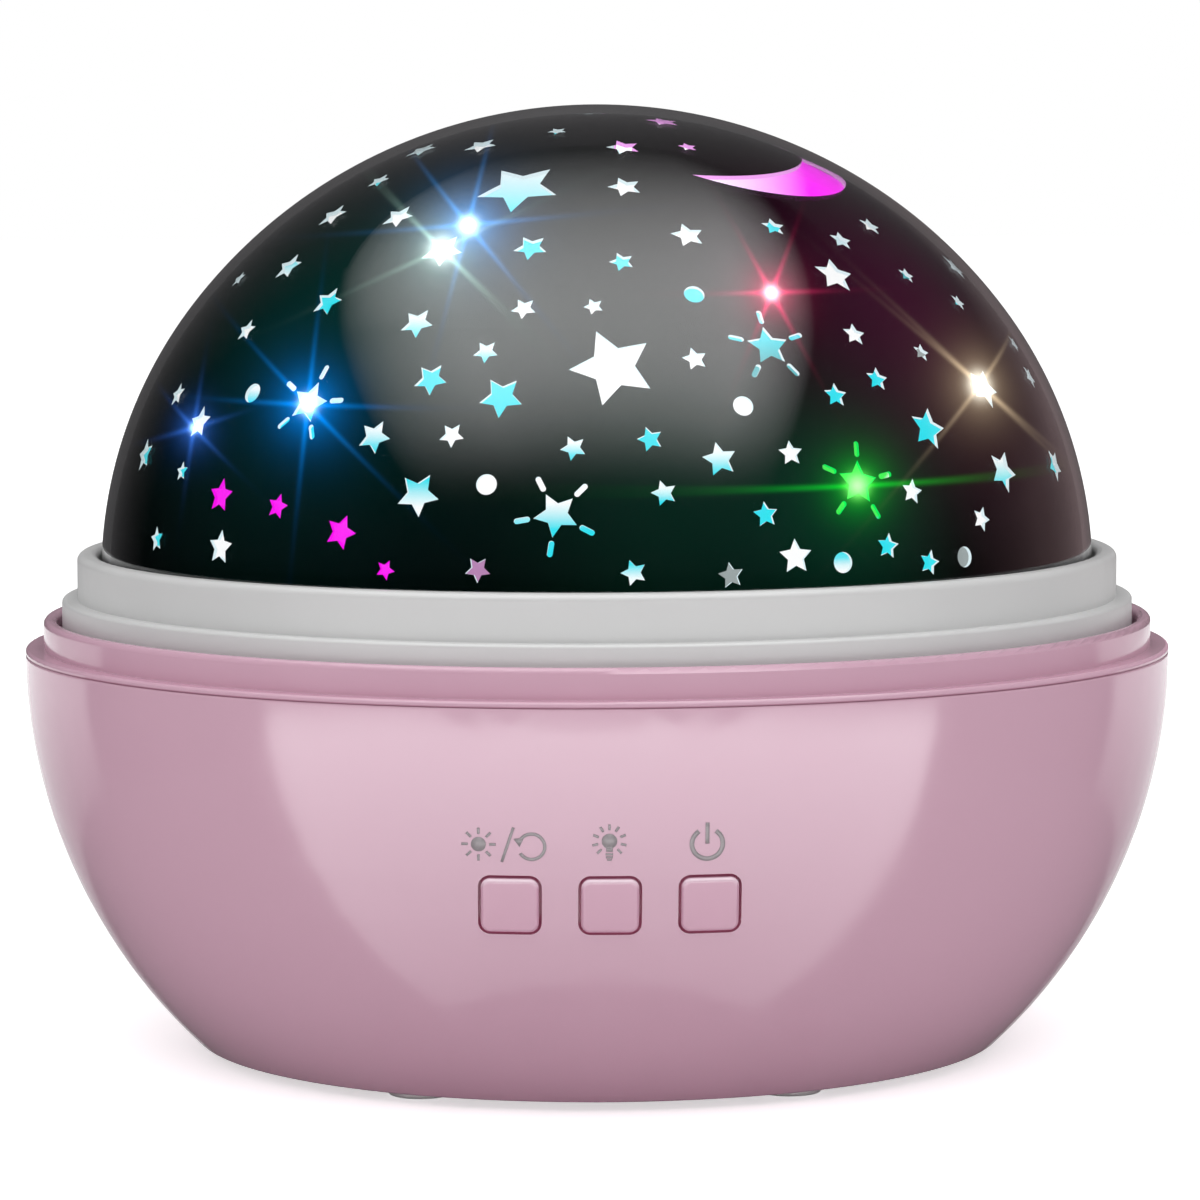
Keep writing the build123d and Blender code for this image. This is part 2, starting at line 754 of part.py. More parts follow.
with BuildPart() as lamp_holder:
    with BuildSketch(Plane.XZ):
        spigot_radius = pillar_bore - screw_gap
        flange_z = pillar_z + holder_flange
        with BuildLine():
            Polyline(
                (holder_bore, pillar_z - holder_spigot),
                (spigot_radius, pillar_z - holder_spigot),
                (spigot_radius, pillar_z),
                (holder_flange_radius, pillar_z),
                (holder_flange_radius, flange_z),
                (holder_stem_radius, flange_z),
                (holder_stem_radius, holder_z),
                (holder_bore, holder_z),
                close=True,
            )
        make_face()
    revolve(axis=Axis.Z)
    with BuildSketch(Plane.XY.offset(flange_z)):
        with GridLocations(2 * lamp_screw_circle, 0, 2, 1):
            Circle(short_screw_radius + screw_gap)
    extrude(amount=-holder_flange, mode=Mode.SUBTRACT)

with BuildPart() as led_board:
    with BuildSketch(Plane.XY.offset(holder_z)):
        Circle(led_board_radius)
    extrude(amount=led_board_thickness)


# One lamp of the light source, at its own angle on the board
def led_at(angle):
    place = Vector(led_circle * cos(radians(angle)), led_circle * sin(radians(angle)), led_board_z)
    with BuildPart() as led:
        with Locations(place):
            Cylinder(led_flange_radius, led_flange, align=bottom_up)
            Cylinder(led_radius, led_straight, align=bottom_up)
        with Locations(place + Vector(0, 0, led_straight)):
            Sphere(led_radius)
    return led


led_red = led_at(45)
led_green = led_at(135)
led_blue = led_at(225)
led_white = led_at(315)


# One button: a cap that follows the bowl's curve, a flange behind the wall and a stem
def button_at(x):
    flange_front = flange_distance(x)
    with BuildPart() as button:
        with BuildSketch(Plane.XZ.offset(flange_front)):
            with Locations((x, button_z)):
                RectangleRounded(button_width, button_height, button_corner)
        extrude(amount=bowl_radius - flange_front)
        add(bowl_form(button_proud, bowl_z, seam_z), mode=Mode.INTERSECT)
        fillet(button.faces().sort_by(Axis.Y)[0].edges(), button_round)
        with BuildSketch(Plane.XZ.offset(flange_front)):
            with Locations((x, button_z)):
                Rectangle(button_width + 2 * flange_lip, button_height + 2 * flange_lip)
        extrude(amount=-flange_thickness)
        with BuildSketch(Plane.XZ.offset(flange_front - flange_thickness)):
            with Locations((x, button_z)):
                Circle(stem_radius)
        extrude(amount=plunger_distance - flange_front + flange_thickness)
    return button


def plunger_at(x):
    with BuildPart() as plunger:
        with BuildSketch(Plane.XZ.offset(plunger_distance)):
            with Locations((x, button_z)):
                Circle(plunger_radius)
        extrude(amount=-plunger_proud - plunger_seat)
    return plunger


buttons = {name: button_at(x) for name, x in button_places.items()}
plungers = {name: plunger_at(x) for name, x in button_places.items()}

with BuildPart() as tact_switches:
    with BuildSketch(Plane.XZ.offset(board_distance)):
        with Locations(*[(x, button_z) for x in button_places.values()]):
            Rectangle(switch_size, switch_size)
    extrude(amount=switch_height)
    with BuildSketch(Plane.XZ.offset(board_distance + switch_height)):
        with Locations(*[(x, button_z) for x in button_places.values()]):
            Circle(plunger_radius + turn_gap)
    extrude(amount=-plunger_seat - button_travel - slide_gap, mode=Mode.SUBTRACT)

with BuildPart() as main_board:
    with BuildSketch(Plane.XZ.offset(board_distance)):
        with Locations((0, button_z)):
            Rectangle(board_width, board_height)
            with GridLocations(2 * board_boss_x, 0, 2, 1):
                Circle(short_screw_radius + screw_gap, mode=Mode.SUBTRACT)
    extrude(amount=-board_thickness)

with BuildPart() as control_chip:
    with BuildSketch(Plane.XZ.offset(board_back)):
        with Locations((chip_x, button_z)):
            Rectangle(chip_length, chip_width)
    extrude(amount=-chip_height)

with BuildPart() as capacitor:
    with BuildSketch(Plane.XZ.offset(board_back)):
        with Locations((capacitor_x, button_z)):
            Circle(capacitor_radius)
    extrude(amount=-capacitor_height)

with BuildPart() as usb_board:
    with BuildSketch(Plane.XY.offset(usb_board_z)):
        with Locations((0, usb_board_middle)):
            Rectangle(usb_board_width, usb_board_depth)
        with Locations((0, usb_post_y)):
            with GridLocations(2 * usb_post_x, 0, 2, 1):
                Circle(short_screw_radius + screw_gap, mode=Mode.SUBTRACT)
    extrude(amount=-usb_board_thickness)

with BuildPart() as usb_socket:
    with BuildSketch(Plane.XZ.offset(-usb_distance)):
        with Locations((0, usb_z)):
            Rectangle(usb_width, usb_height)
    extrude(amount=usb_depth)
    with BuildSketch(Plane.XZ.offset(-usb_distance)):
        with Locations((0, usb_z)):
            Rectangle(usb_width - 2 * usb_wall, usb_height - 2 * usb_wall)
            Rectangle(usb_tongue_width, usb_tongue_height, mode=Mode.SUBTRACT)
    extrude(amount=usb_depth - usb_tongue_back, mode=Mode.SUBTRACT)

# The cells lie side by side along X, turned end for end in turn
cell_places = [(cell_pitch * (i - (cell_count - 1) / 2), (-1) ** i) for i in range(cell_count)]

with BuildPart() as cells:
    for y, side in cell_places:
        facing = Plane(origin=(side * nub_x, y, cell_z), z_dir=(side, 0, 0))
        with BuildSketch(facing):
            Circle(cell_nub_radius)
        extrude(amount=-cell_length)
        with BuildSketch(facing.offset(-cell_nub)):
            Circle(cell_radius)
        extrude(amount=cell_nub - cell_length)

with BuildPart() as positive_contacts:
    for y, side in cell_places:
        with BuildSketch(Plane(origin=(side * nub_x, y, cell_z), z_dir=(side, 0, 0))):
            Rectangle(contact_size, contact_size)
        extrude(amount=contact_thickness)
    with Locations((tab_x, -tab_y, tab_z)):
        Box(contact_thickness, tab_width, tab_z - cell_z, align=top_down)

# Each leaf bows out from its plate to the cell's flat end
with BuildPart() as negative_contacts:
    for y, side in cell_places:
        plate = Plane(origin=(-side * nub_x, y, cell_z), x_dir=(side, 0, 0), z_dir=(0, -side, 0))
        bow_reach = 2 * nub_x - cell_length
        with BuildSketch(plate):
            with BuildLine():
                ThreePointArc((0, -contact_bow), (bow_reach, 0), (0, contact_bow))
                ThreePointArc(
                    (0, contact_thickness - contact_bow),
                    (bow_reach - contact_thickness, 0),
                    (0, contact_bow - contact_thickness),
                )
                Line((0, -contact_bow), (0, contact_thickness - contact_bow))
                Line((0, contact_bow), (0, contact_bow - contact_thickness))
            make_face()
            Rectangle(contact_thickness, contact_size, align=(Align.MAX, Align.CENTER))
        extrude(amount=contact_size / 2, both=True)
    with Locations((tab_x, tab_y, tab_z)):
        Box(contact_thickness, tab_width, tab_z - cell_z, align=top_down)

with BuildPart() as battery_door:
    with BuildSketch(Plane.XY.offset(bowl_z + lift_gap)):
        door_outline(0)
    extrude(amount=door_recess - 2 * lift_gap)
    with Locations((0, 0, door_z - lift_gap)):
        Box(
            bay_length - 2 * slide_gap,
            bay_width - 2 * slide_gap,
            bowl_floor - door_recess + lift_gap,
            align=bottom_up,
        )
    with BuildSketch(Plane.XY.offset(door_z)):
        with GridLocations(2 * door_screw_x, 0, 2, 1):
            Circle(short_screw_radius + screw_gap)
    extrude(amount=-door_recess, mode=Mode.SUBTRACT)
    with BuildSketch(Plane.XY.offset(bowl_z + lift_gap + door_recess / 2)):
        with GridLocations(2 * door_screw_x, 0, 2, 1):
            Circle(short_head_radius + screw_gap)
    extrude(amount=-door_recess, mode=Mode.SUBTRACT)

# Screws
door_head_z = bowl_z + lift_gap + door_recess / 2
door_screws = screws_on(
    [Plane(origin=(x, 0, door_head_z), z_dir=(0, 0, -1)) for x in (-door_screw_x, door_screw_x)],
    short_head_radius,
    door_recess / 2,
    short_screw_radius,
    door_screw_shank,
)
cover_screws = screws_on(
    [
        Plane(origin=(x, y, head_z), z_dir=(0, 0, -1))
        for x in (-post_x, post_x)
        for y in (-post_y, post_y)
    ],
    long_head_radius,
    long_head_height,
    long_screw_radius,
    long_screw_shank,
)
board_screws = screws_on(
    [
        Plane(origin=(x, -board_back, button_z), z_dir=(0, 1, 0))
        for x in (-board_boss_x, board_boss_x)
    ],
    short_head_radius,
    short_head_height,
    short_screw_radius,
    board_screw_shank,
)
lamp_screws = screws_on(
    [Plane((x, 0, pillar_z + holder_flange)) for x in (-lamp_screw_circle, lamp_screw_circle)],
    short_head_radius,
    short_head_height,
    short_screw_radius,
    lamp_screw_shank,
)
bracket_screw_y = (motor_width + 2 * bracket_wall + bracket_ear) / 2
motor_screws = screws_on(
    [
        Plane(origin=(pinion_x, y, deck_under_z - bracket_ear_thickness), z_dir=(0, 0, -1))
        for y in (-bracket_screw_y, bracket_screw_y)
    ],
    short_head_radius,
    short_head_height,
    short_screw_radius,
    motor_screw_shank,
)
usb_screws = screws_on(
    [Plane((x, usb_post_y, usb_board_z)) for x in (-usb_post_x, usb_post_x)],
    short_head_radius,
    short_head_height,
    short_screw_radius,
    usb_screw_shank,
)

# Wires, each from where it is soldered to the main board's back
lamp_lead_z = button_z + lamp_lead_rise
lamp_leads = leads_along(
    *[
        [(x, -board_back, lamp_lead_z), (x, 0, lamp_lead_z), (x, 0, holder_z)]
        for x in (-lead_spread, lead_spread)
    ]
)
motor_side = pinion_x + motor_depth / 2
motor_lead_z = bay_roof_z + motor_lead_rise
motor_leads = leads_along(
    *[
        [(motor_side, 0, z), (-motor_lead_x, 0, z), (-motor_lead_x, -board_back, z)]
        for z in (motor_lead_z - lead_spread, motor_lead_z + lead_spread)
    ]
)
usb_lead_y = usb_board_middle
usb_lead_z = button_z + usb_lead_rise
usb_leads = leads_along(
    *[
        [(x, usb_lead_y, usb_board_z), (x, usb_lead_y, usb_lead_z), (x, -board_back, usb_lead_z)]
        for x in (usb_lead_x - lead_spread, usb_lead_x + lead_spread)
    ]
)
battery_lead_z = button_z + battery_lead_rise
battery_lead_y = 2 * lead_bend - board_back
battery_leads = leads_along(
    *[
        [
            (tab_x, y, tab_z),
            (tab_x, y, z),
            (battery_lead_x, battery_lead_y, z),
            (battery_lead_x, -board_back, z),
        ]
        for y, z in (
            (-tab_y, battery_lead_z - lead_spread),
            (tab_y, battery_lead_z + lead_spread),
        )
    ]
)

os.makedirs("parts", exist_ok=True)
pieces = {
    "bowl": bowl,
    "feet": feet,
    "top_cover": top_cover,
    "turntable": turntable,
    "thrust_washer": thrust_washer,
    "clear_dome": clear_dome,
    "star_mask": star_mask,
    "colour_film": colour_film,
    "ring_gear": ring_gear,
    "pinion": pinion,
    "motor_shaft": motor_shaft,
    "motor_gearbox": motor_gearbox,
    "motor_can": motor_can,
    "motor_bracket": motor_bracket,
    "lamp_holder": lamp_holder,
    "led_board": led_board,
    "led_red": led_red,
    "led_green": led_green,
    "led_blue": led_blue,
    "led_white": led_white,
    "tact_switches": tact_switches,
    "main_board": main_board,
    "control_chip": control_chip,
    "capacitor": capacitor,
    "usb_board": usb_board,
    "usb_socket": usb_socket,
    "cells": cells,
    "positive_contacts": positive_contacts,
    "negative_contacts": negative_contacts,
    "battery_door": battery_door,
    "door_screws": door_screws,
    "cover_screws": cover_screws,
    "board_screws": board_screws,
    "lamp_screws": lamp_screws,
    "motor_screws": motor_screws,
    "usb_screws": usb_screws,
    "lamp_leads": lamp_leads,
    "motor_leads": motor_leads,
    "usb_leads": usb_leads,
    "battery_leads": battery_leads,
}
pieces |= {f"{name}_button": button for name, button in buttons.items()}
pieces |= {f"{name}_plunger": plunger for name, plunger in plungers.items()}
for name, piece in pieces.items():
    piece.part.label = name
    export_step(piece.part, f"parts/{name}.step")
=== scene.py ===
import json
import math

import bmesh
import bpy
import numpy as np
from mathutils import Matrix, Vector


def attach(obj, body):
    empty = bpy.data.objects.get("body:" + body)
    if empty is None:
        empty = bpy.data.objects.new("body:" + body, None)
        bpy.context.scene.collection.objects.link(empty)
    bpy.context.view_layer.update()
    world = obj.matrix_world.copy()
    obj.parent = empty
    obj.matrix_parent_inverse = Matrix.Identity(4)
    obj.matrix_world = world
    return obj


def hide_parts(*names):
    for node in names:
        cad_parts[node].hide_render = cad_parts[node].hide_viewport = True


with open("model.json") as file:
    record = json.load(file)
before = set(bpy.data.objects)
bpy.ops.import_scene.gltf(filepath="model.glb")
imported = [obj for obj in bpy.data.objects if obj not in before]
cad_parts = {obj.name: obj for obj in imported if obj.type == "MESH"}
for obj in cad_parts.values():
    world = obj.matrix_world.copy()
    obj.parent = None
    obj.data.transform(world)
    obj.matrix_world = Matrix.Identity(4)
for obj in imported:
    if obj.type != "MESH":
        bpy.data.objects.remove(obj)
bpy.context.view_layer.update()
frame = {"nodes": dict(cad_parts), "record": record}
nodes = frame["nodes"]
mm = 0.001
print("frame:", len(nodes), "nodes")


# short ways to add nodes; a number or a socket can stand for each input
def plug(socket, value):
    if isinstance(value, bpy.types.NodeSocket):
        socket.id_data.links.new(value, socket)
    else:
        socket.default_value = value


def calc(tree, operation, *values):
    node = tree.nodes.new("ShaderNodeMath")
    node.operation = operation
    for socket, value in zip(node.inputs, values):
        plug(socket, value)
    return node.outputs[0]


def squared(tree, value):
    return calc(tree, "MULTIPLY", value, value)


def decay(tree, value):
    return calc(tree, "EXPONENT", calc(tree, "MULTIPLY", value, -1.0))


def calcVector(tree, operation, *values):
    node = tree.nodes.new("ShaderNodeVectorMath")
    node.operation = operation
    for socket, value in zip(node.inputs, values):
        plug(socket, value)
    return node.outputs["Value" if operation in ("DOT_PRODUCT", "LENGTH") else "Vector"]


def scaled(tree, colour, amount):
    node = tree.nodes.new("ShaderNodeVectorMath")
    node.operation = "SCALE"
    plug(node.inputs[0], colour)
    plug(node.inputs["Scale"], amount)
    return node.outputs["Vector"]


def noise(tree, coords, scale, detail=2.0, rough=0.5):
    node = tree.nodes.new("ShaderNodeTexNoise")
    plug(node.inputs["Vector"], coords)
    node.inputs["Scale"].default_value = scale
    node.inputs["Detail"].default_value = detail
    node.inputs["Roughness"].default_value = rough
    return node.outputs["Fac"]


def spread(tree, value, low, high, newLow, newHigh):
    node = tree.nodes.new("ShaderNodeMapRange")
    for socket, number in zip(node.inputs, (value, low, high, newLow, newHigh)):
        plug(socket, number)
    return node.outputs[0]


def blendColour(tree, factor, first, second):
    node = tree.nodes.new("ShaderNodeMix")
    node.data_type = "RGBA"
    plug(node.inputs["Factor"], factor)
    plug(node.inputs["A"], first)
    plug(node.inputs["B"], second)
    return node.outputs["Result"]


def bump(tree, height, strength, distance):
    node = tree.nodes.new("ShaderNodeBump")
    node.inputs["Strength"].default_value = strength
    node.inputs["Distance"].default_value = distance
    plug(node.inputs["Height"], height)
    return node.outputs["Normal"]


def objectCoords(tree):
    return tree.nodes.new("ShaderNodeTexCoord").outputs["Object"]


def axes(tree):
    split = tree.nodes.new("ShaderNodeSeparateXYZ")
    plug(split.inputs[0], objectCoords(tree))
    return [split.outputs[axis] for axis in "XYZ"]


# a normal in the piece's own axes, so that it turns with the piece
def ownNormal(tree, label):
    turned = tree.nodes.new("ShaderNodeVectorTransform")
    turned.vector_type = "NORMAL"
    turned.convert_from = "WORLD"
    turned.convert_to = "OBJECT"
    plug(turned.inputs[0], tree.nodes.new("ShaderNodeNewGeometry").outputs[label])
    return calcVector(tree, "NORMALIZE", turned.outputs[0])


def startMaterial(name):
    mat = bpy.data.materials.new(name)
    mat.use_nodes = True
    tree = mat.node_tree
    return mat, tree, tree.nodes["Principled BSDF"]


def rgb(red, green, blue):
    return (red, green, blue, 1.0)


# rubbed edges with a painted edge highlight: lighter where a rounded normal turns away from the true one,
# broken up by noise
edgeWearAndHighlight = {"radius": 0.22 * mm, "flat": 0.985, "edge": 0.86, "amount": 0.55, "breakUp": 260}


def wornAndLitEdges(tree, coords):
    rounded = tree.nodes.new("ShaderNodeBevel")
    rounded.inputs["Radius"].default_value = edgeWearAndHighlight["radius"]
    plain = tree.nodes.new("ShaderNodeNewGeometry").outputs["Normal"]
    alike = calcVector(tree, "DOT_PRODUCT", rounded.outputs[0], plain)
    edge = spread(tree, alike, edgeWearAndHighlight["flat"], edgeWearAndHighlight["edge"], 0.0, edgeWearAndHighlight["amount"])
    return calc(tree, "MULTIPLY", edge, noise(tree, coords, edgeWearAndHighlight["breakUp"], 3.0))


# moulded and metal finishes share one recipe: two tones, rubbed edges with a painted edge highlight, uneven
# gloss and a fine grain
mottle = {"span": (0.3, 0.7), "smear": 4, "gloss": (0.85, 1.2), "bump": 0.3}


def surface(name, tone, otherTone, gloss, metal=0.0, blotch=40, grain=900, grainDepth=0.01, wearAndHighlight=0.35):
    mat, tree, shader = startMaterial(name)
    coords = objectCoords(tree)
    colour = blendColour(tree, noise(tree, coords, blotch, 3.0), rgb(*tone), rgb(*otherTone))
    # edges lighter, partly from rubbing and partly as a painted highlight
    if wearAndHighlight:
        paintedEdgeLight = rgb(*[part + (1 - part) * wearAndHighlight for part in tone])
        colour = blendColour(tree, wornAndLitEdges(tree, coords), colour, paintedEdgeLight)
    plug(shader.inputs["Base Color"], colour)
    smears = noise(tree, coords, blotch * mottle["smear"], 4.0, 0.6)
    sleek, dull = (gloss * share for share in mottle["gloss"])
    plug(shader.inputs["Roughness"], spread(tree, smears, *mottle["span"], sleek, dull))
    shader.inputs["Metallic"].default_value = metal
    fine = noise(tree, coords, grain, 2.0)
    plug(shader.inputs["Normal"], bump(tree, fine, mottle["bump"], grainDepth * mm))
    return mat


# the pink housing: painted shade along the seam, a painted dark-red glow deep in the button gaps, a painted
# highlight on the buttons' upper edges
pinkShell = {
    "tone": (0.61, 0.375, 0.475),
    "otherTone": (0.635, 0.39, 0.49),
    "gloss": 0.13,
    "ior": 1.52,
    "seamShadeTone": (0.36, 0.15, 0.22),
    "seamWidth": (0.064 * mm, 0.16 * mm),
    "seamShade": 0.75,
    "gapGlowTone": (0.06, 0.012, 0.024),
    "gapDepth": (0.3 * mm, 0.6 * mm),
    "gapReach": 15 * mm,
    "gapZ": 24.5 * mm,
    "gapHeight": 5.5 * mm,
    "proud": (0.02 * mm, 0.12 * mm),
    "capTone": (0.6, 0.32, 0.435),
    "capShare": 0.6,
    "capHighlightTone": (0.88, 0.7, 0.78),
    "upward": (-0.22, 0.45),
}
bowlShape = {"seamZ": 45.4 * mm, "sideCentre": 3.8 * mm, "sideRadius": 61.2 * mm}


def makePink():
    pink = pinkShell
    mat = surface(
        "pinkShell", pink["tone"], pink["otherTone"], pink["gloss"], blotch=30, grain=1400, grainDepth=0.004
    )
    tree = mat.node_tree
    shader = tree.nodes["Principled BSDF"]
    shader.inputs["IOR"].default_value = pink["ior"]
    x, y, z = axes(tree)
    # painted shade: a thin darker line along the seam between bowl and top cover
    fromSeam = calc(tree, "ABSOLUTE", calc(tree, "SUBTRACT", z, bowlShape["seamZ"]))
    seamShadeShare = spread(tree, fromSeam, *pink["seamWidth"], pink["seamShade"], 0.0)
    plain = shader.inputs["Base Color"].links[0].from_socket
    colour = blendColour(tree, seamShadeShare, plain, rgb(*pink["seamShadeTone"]))
    down = calc(tree, "SUBTRACT", bowlShape["seamZ"], z)
    bulge = calc(tree, "SUBTRACT", bowlShape["sideRadius"] ** 2, squared(tree, down))
    reach = calc(tree, "ADD", calc(tree, "SQRT", bulge), bowlShape["sideCentre"])
    away = calc(tree, "SQRT", calc(tree, "ADD", squared(tree, x), squared(tree, y)))
    near = calc(tree, "LESS_THAN", calc(tree, "ABSOLUTE", x), pink["gapReach"])
    level = calc(tree, "COMPARE", z, pink["gapZ"], pink["gapHeight"])
    front = calc(tree, "LESS_THAN", y, 0.0)
    atButtons = calc(tree, "MULTIPLY", calc(tree, "MULTIPLY", near, level), front)
    # painted glow: a dark-red light deep in the button gaps, where the plastic would otherwise stay black
    gapGlowShare = spread(tree, calc(tree, "SUBTRACT", reach, away), *pink["gapDepth"], 0.0, 1.0)
    shader.inputs["Emission Color"].default_value = rgb(*pink["gapGlowTone"])
    plug(shader.inputs["Emission Strength"], calc(tree, "MULTIPLY", atButtons, gapGlowShare))
    proud = spread(tree, calc(tree, "SUBTRACT", away, reach), *pink["proud"], 0.0, 1.0)
    cap = calc(tree, "MULTIPLY", atButtons, proud)
    # painted highlight: the buttons' upward-facing edges lighter, as if lit from above
    upward = calcVector(tree, "DOT_PRODUCT", ownNormal(tree, "Normal"), (0, 0, 1))
    paintedEdgeLight = calc(tree, "MULTIPLY", cap, spread(tree, upward, *pink["upward"], 0.0, 1.0))
    colour = blendColour(tree, calc(tree, "MULTIPLY", cap, pink["capShare"]), colour, rgb(*pink["capTone"]))
    plug(shader.inputs["Base Color"], blendColour(tree, paintedEdgeLight, colour, rgb(*pink["capHighlightTone"])))
    return mat


# the light that the lamp throws forward through a window: core, halo and crossing rays, long in depth
flareShape = {"squeeze": (1.0, 0.35, 1.0), "rayWidth": 0.27 * mm}


def makeFlareGroup():
    group = bpy.data.node_groups.new("flare", "ShaderNodeTree")
    side = group.interface
    for label, kind in (
        ("Where", "NodeSocketVector"),
        ("Middle", "NodeSocketVector"),
        ("Ray 1", "NodeSocketVector"),
        ("Ray 2", "NodeSocketVector"),
        ("Ray 3", "NodeSocketVector"),
        ("Core", "NodeSocketFloat"),
        ("Halo", "NodeSocketFloat"),
        ("Reach", "NodeSocketFloat"),
        ("Core Power", "NodeSocketFloat"),
        ("Halo Power", "NodeSocketFloat"),
        ("Ray Power", "NodeSocketFloat"),
        ("Core Colour", "NodeSocketColor"),
        ("Halo Colour", "NodeSocketColor"),
    ):
        side.new_socket(label, in_out="INPUT", socket_type=kind)
    side.new_socket("Light", in_out="OUTPUT", socket_type="NodeSocketColor")
    given = group.nodes.new("NodeGroupInput").outputs
    away = calcVector(group, "SUBTRACT", given["Where"], given["Middle"])
    away = calcVector(group, "MULTIPLY", away, flareShape["squeeze"])
    far = calcVector(group, "LENGTH", away)
    coreShare = calc(group, "DIVIDE", far, given["Core"])
    core = decay(group, squared(group, coreShare))
    halo = decay(group, calc(group, "DIVIDE", far, given["Halo"]))
    fade = decay(group, calc(group, "DIVIDE", far, given["Reach"]))
    lines = []
    for label in ("Ray 1", "Ray 2", "Ray 3"):
        off = calcVector(group, "DOT_PRODUCT", away, given[label])
        lines.append(decay(group, squared(group, off)))
    rays = calc(group, "ADD", calc(group, "ADD", lines[0], lines[1]), lines[2])
    rays = calc(group, "MULTIPLY", calc(group, "MULTIPLY", rays, fade), given["Ray Power"])
    haloRays = calc(group, "ADD", calc(group, "MULTIPLY", halo, given["Halo Power"]), rays)
    lit = scaled(group, given["Core Colour"], calc(group, "MULTIPLY", core, given["Core Power"]))
    total = calcVector(group, "ADD", lit, scaled(group, given["Halo Colour"], haloRays))
    group.links.new(total, group.nodes.new("NodeGroupOutput").inputs[0])
    return group


domeShape = {
    "radius": 56.4 * mm,
    "rise": 53.4 * mm,
    "centreZ": 53.6 * mm,
    "footZ": 49.15 * mm,
    "sideShare": 2.0,
    "crownShare": 1.5,
    "wall": 0.9 * mm,
    "maskInset": 1.0 * mm,
    "filmInset": 1.45 * mm,
    "filmWall": 0.4 * mm,
    "turn": -1.2,
    "shellSteps": (256, 24, 44),
    "filmSteps": (360, 44, 66),
    "merge": 0.001 * mm,
}


# a place on the dome, from an azimuth and a height in degrees
def domePlace(azimuth, height, inset):
    across, up = math.radians(azimuth + domeShape["turn"]), math.radians(height)
    wide, tall = domeShape["radius"] - inset, domeShape["rise"] - inset
    return Vector((
        wide * math.cos(up) * math.sin(across),
        -wide * math.cos(up) * math.cos(across),
        domeShape["centreZ"] + tall * math.sin(up),
    ))


# each flare: azimuth and height; reach in mm and power of core, halo and rays; tints; ray turns
flares = {
    "blueWhite": {
        "place": (-22.4, 50.0), "reaches": (0.9, 1.9, 3.6), "powers": (3.0, 1.5, 1.1),
        "core": (0.75, 0.93, 1.0), "halo": (0.05, 0.36, 1.0), "turns": (5, 75, 130),
    },
    "whiteStar": {
        "place": (-25.1, 45.9), "reaches": (1.3, 1.7, 4.0), "powers": (1.5, 0.75, 0.45),
        "core": (0.9, 1.0, 0.95), "halo": (0.6, 1.0, 0.8), "turns": (25, 135, 138),
    },
    "blue": {
        "place": (-37, 24.2), "reaches": (0.8, 1.75, 3.2), "powers": (3.0, 1.6, 1.3),
        "core": (0.7, 0.95, 1.0), "halo": (0.0, 0.27, 1.0), "turns": (0, 84, 137),
    },
    "smallBlue": {
        "place": (-56.5, 20.5), "reaches": (0.5, 1.1, 1.8), "powers": (2.0, 1.0, 0.9),
        "core": (0.5, 0.8, 1.0), "halo": (0.05, 0.22, 1.0), "turns": (20, 82, 140),
    },
    "pink": {
        "place": (25.6, 39.1), "reaches": (0.7, 1.3, 2.2), "powers": (2.6, 1.2, 1.4),
        "core": (1.0, 0.8, 0.85), "halo": (1.0, 0.03, 0.17), "turns": (0, 65, 118),
    },
    "warm": {
        "place": (55.7, 25.6), "reaches": (1.25, 2.0, 4.2), "powers": (2.0, 0.8, 0.6),
        "core": (1.0, 0.97, 0.85), "halo": (0.95, 0.72, 0.45), "turns": (45, 137, 140),
    },
    "green": {
        "place": (30.7, 14.5), "reaches": (1.0, 1.35, 7.5), "powers": (1.6, 1.3, 0.26),
        "core": (0.35, 1.0, 0.25), "halo": (0.0, 0.75, 0.02), "turns": (-1, 0, 1),
    },
}
# wide, faint light on the inside of the mask: azimuth, height, reach in mm, power, colour
glows = {
    "greenLeft": (-37, 34, 20, 0.024, (0.06, 1.0, 0.8)),
    "greenLow": (30, 13, 11, 0.026, (0.0, 1.0, 0.5)),
    "greenFront": (8, 16, 14, 0.017, (0.1, 1.0, 0.6)),
    "plumRight": (50, 36, 18, 0.045, (1.0, 0.17, 0.52)),
}


def flareLights(tree, group):
    lights = []
    for flare in flares.values():
        node = tree.nodes.new("ShaderNodeGroup")
        node.node_tree = group
        plug(node.inputs["Where"], objectCoords(tree))
        node.inputs["Middle"].default_value = domePlace(*flare["place"], domeShape["maskInset"])
        for number, turn in enumerate(flare["turns"]):
            angle = math.radians(turn + 90)
            across = Vector((math.cos(angle), 0, math.sin(angle))) / flareShape["rayWidth"]
            node.inputs[f"Ray {number + 1}"].default_value = across
        for label, reach in zip(("Core", "Halo", "Reach"), flare["reaches"]):
            node.inputs[label].default_value = reach * mm
        for label, power in zip(("Core Power", "Halo Power", "Ray Power"), flare["powers"]):
            node.inputs[label].default_value = power
        node.inputs["Core Colour"].default_value = rgb(*flare["core"])
        node.inputs["Halo Colour"].default_value = rgb(*flare["halo"])
        lights.append(node.outputs[0])
    return lights


def glowLights(tree):
    lights = []
    for azimuth, height, reach, power, tint in glows.values():
        middle = domePlace(azimuth, height, domeShape["maskInset"])
        away = calcVector(tree, "SUBTRACT", objectCoords(tree), middle)
        share = calc(tree, "DIVIDE", calcVector(tree, "LENGTH", away), reach * mm)
        fade = decay(tree, squared(tree, share))
        lights.append(scaled(tree, tint, calc(tree, "MULTIPLY", fade, power)))
    return lights


def addLights(tree, lights):
    total = lights[0]
    for light in lights[1:]:
        total = calcVector(tree, "ADD", total, light)
    return total


